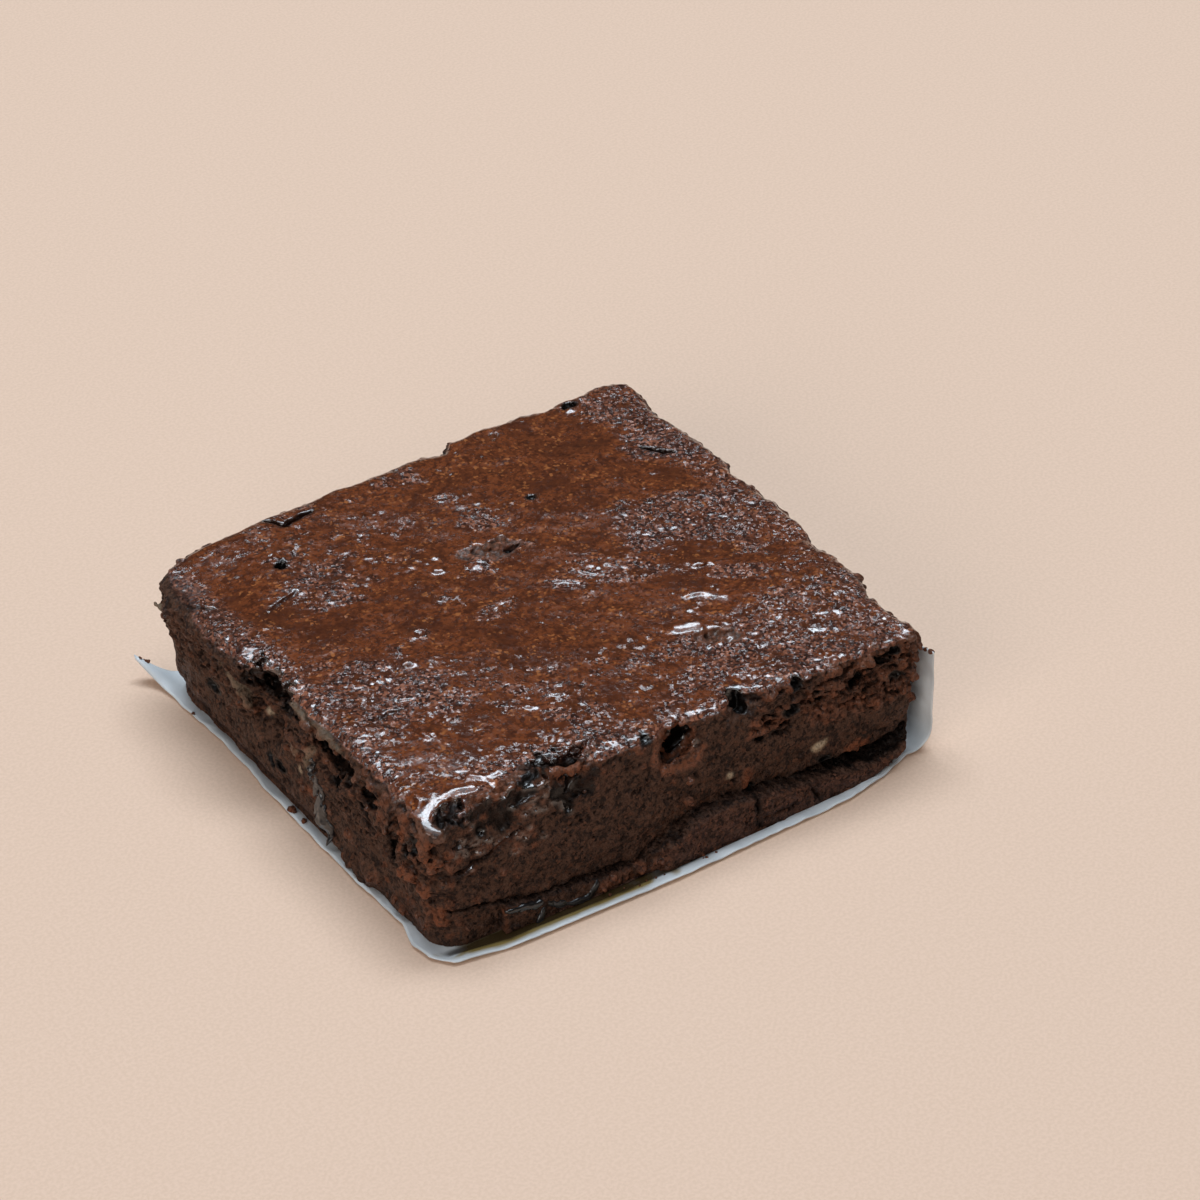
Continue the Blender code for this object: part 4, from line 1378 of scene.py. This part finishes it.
DRIPS = (
    ("left", -5.7, 12.4, 0.55, 2.6, 2.0, 15.0, 0.0),
    ("left", -6.3, 10.0, 0.6, 3.0, 2.0, 17.0, 0.0),
    ("left", -7.1, 7.6, 0.8, 3.2, 2.0, 18.0, 0.0),
    ("left", -8.0, 5.2, 1.1, 3.0, 2.0, 19.0, 0.0),
    ("left", -8.8, 3.4, 1.3, 2.6, 2.0, 20.0, 0.0),
    ("front", -27.8, 3.8, 3.2, 0.5, 0.9, -10.0, 0.1),
    ("front", -25.0, 3.2, 1.0, 0.5, 0.8, 20.0, 0.0),
    ("front", -21.6, 1.9, 2.4, 0.6, 0.7, -22.0, 0.1),
    ("front", -18.0, 1.1, 2.6, 0.5, 0.6, -6.0, 0.1),
    ("front", -15.6, 1.8, 0.5, 1.2, 0.6, -35.0, 0.1),
    ("front", -24.6, 1.2, 0.5, 1.4, 0.6, -35.0, 0.1),
)


def syrup_film(clay, material):
    """Syrup that ran down the left face and pooled at the foot of the front."""
    film = np.full(clay.depth.shape, BAND_VOXELS * VOXEL, np.float32)
    for form in DRIPS:
        slices, distance = clay.form(*form)
        film[slices] = np.minimum(film[slices], distance)
    film = np.maximum(film, -clay.depth - 0.4)
    film = np.maximum(film, clay.depth - 0.3)
    points, faces = clay.surface(film)
    if point_normals(points, faces)[np.argmax(points[:, 2]), 2] < 0.0:
        faces = faces[:, ::-1]
    piece = new_mesh_object("syrup_film", settle(points), faces)
    piece.data.materials.append(material)
    return piece


# (x, y, z, size) of single crumbs beside the block, on the paper and on the flap's top edge
LONE_CRUMBS = (
    (-41.9, 40.2, 2.6, 0.6),
    (-42.6, 40.6, 3.4, 0.35),
    (42.3, -37.6, 17.0, 0.45),
    (42.2, -36.5, 16.9, 0.3),
    (-40.6, 1.0, 0.6, 0.6),
    (-40.4, -2.2, 0.6, 0.45),
    (-40.6, 0.2, 0.7, 0.35),
    (-41.0, 28.0, 0.6, 0.3),
    (-40.7, 36.8, 0.6, 0.45),
)


def loose_crumbs(material):
    """Single crumbs lying on the paper."""
    random = np.random.default_rng(9)
    places = list(LONE_CRUMBS)
    for _ in range(16):
        x = random.uniform(-14.0, 6.0)
        y = np.interp(x, *zip(*PAPER_FRONT)) + random.uniform(1.2, 2.4)
        places.append((x, y, 0.4, random.uniform(0.1, 0.25)))
    bpy.ops.mesh.primitive_ico_sphere_add(subdivisions=3, radius=1.0)
    ball = bpy.context.object
    base = np.array([v.co for v in ball.data.vertices])
    triangles = np.array([f.vertices for f in ball.data.polygons])
    bpy.data.objects.remove(ball)
    points, faces = [], []
    for number, (x, y, z, size) in enumerate(places):
        stretch = random.uniform(0.65, 1.15, 3) * size
        bumps = 1.0 + 0.25 * np.sin(3.1 * base @ random.uniform(-1.5, 1.5, (3, 3))).sum(axis=1) / 1.5
        own = base * bumps[:, None] * stretch
        own[:, 2] *= 0.8
        points.append(own + np.array((x, y, z + 0.35 * size)) + SQUARE_MIDDLE)
        faces.append(triangles + number * len(base))
    points, faces = np.concatenate(points), np.concatenate(faces)
    piece = new_mesh_object("loose_crumbs", points * MM, faces)
    set_mask(piece, "red", np.full(len(points), 0.7))
    piece.data.materials.append(material)
    return piece


# ------------------------------------------------------------------------------- the stage


def area_light(name, place, size, power, colour):
    """A soft light over or beside the block, its long side square to the view."""
    data = bpy.data.lights.new(name, "AREA")
    data.shape = "RECTANGLE"
    data.size, data.size_y = size
    data.energy = power
    data.color = colour
    light = bpy.data.objects.new(name, data)
    bpy.context.scene.collection.objects.link(light)
    back = Vector(place).normalized()
    side = Vector((0.0, 0.0, 1.0)).cross(back).normalized()
    turned = Matrix((side, back.cross(side), back)).transposed()
    light.matrix_world = Matrix.Translation(place) @ turned.to_4x4()
    return light


def stage():
    scene = bpy.context.scene
    scene.view_settings.view_transform = "Standard"
    bpy.ops.mesh.primitive_plane_add(size=6.0)
    floor = bpy.context.object
    floor.name = "floor"
    floor.data.materials.append(floor_material())
    world = bpy.data.worlds.new("studio")
    world.use_nodes = True
    scene.world = world
    tree = world.node_tree
    place = tree.nodes.new("ShaderNodeTexCoord").outputs["Generated"]
    split = tree.nodes.new("ShaderNodeSeparateXYZ")
    tree.links.new(place, split.inputs[0])
    ramp = tree.nodes.new("ShaderNodeValToRGB")
    ramp.color_ramp.elements[0].position = 0.76
    ramp.color_ramp.elements[0].color = (0.08, 0.07, 0.06, 1.0)
    ramp.color_ramp.elements[1].position = 0.95
    ramp.color_ramp.elements[1].color = (1.45, 1.6, 1.75, 1.0)
    tree.links.new(split.outputs["Z"], ramp.inputs[0])
    tree.links.new(ramp.outputs[0], tree.nodes["Background"].inputs["Color"])
    tree.nodes["Background"].inputs["Strength"].default_value = 0.66
    area_light("key", (0.24, 0.35, 1.5), (1.3, 0.42), 18.5, (0.77, 0.89, 1.0))
    area_light("fill", (-1.6, -0.9, 0.9), (1.4, 1.0), 15.0, (1.0, 0.97, 0.93))


def camera():
    data = bpy.data.cameras.new("camera")
    data.lens = 120.0
    data.sensor_width = 36.0
    data.clip_start = 0.01
    view = bpy.data.objects.new("camera", data)
    bpy.context.scene.collection.objects.link(view)
    view.location = (-0.25174, -0.38378, 0.35663)
    view.rotation_euler = (math.radians(90.0 - 36.16), 0.0, math.radians(-34.44))
    bpy.context.scene.camera = view


def main():
    clay = Clay(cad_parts["brownie"])
    crust_skin = smooth(clay.axes[2], 19.6, 21.2).astype(np.float32)[None, None, :]
    crust_skin = np.broadcast_to(crust_skin, clay.depth.shape)
    facing_up = blurred(clay.facing()["top"], 2)
    crust_skin = crust_skin * smooth(facing_up, 0.1, 0.5).astype(np.float32)
    x, y, z = clay.grid()
    under_lip = smooth(np.interp(x, *zip(*LIP_TOP)) - z, -0.2, 0.3)
    bottom_crust = under_lip * smooth(-y, 37.9, 38.4) * 0.36
    crust_skin = np.maximum(crust_skin, bottom_crust.astype(np.float32))
    roll_corner(clay)
    bevel_edge(clay)
    add_relief(clay)
    add_lumps(clay)
    add_features(clay)
    materials = {"crust": food_material("crust", 0.5), "crumb": food_material("crumb", 0.12)}
    block_pieces(clay, crust_skin, materials)
    syrup_film(clay, syrup_material())
    crinkled_paper(paper_material())
    loose_crumbs(materials["crumb"])
    stage()
    camera()


main()
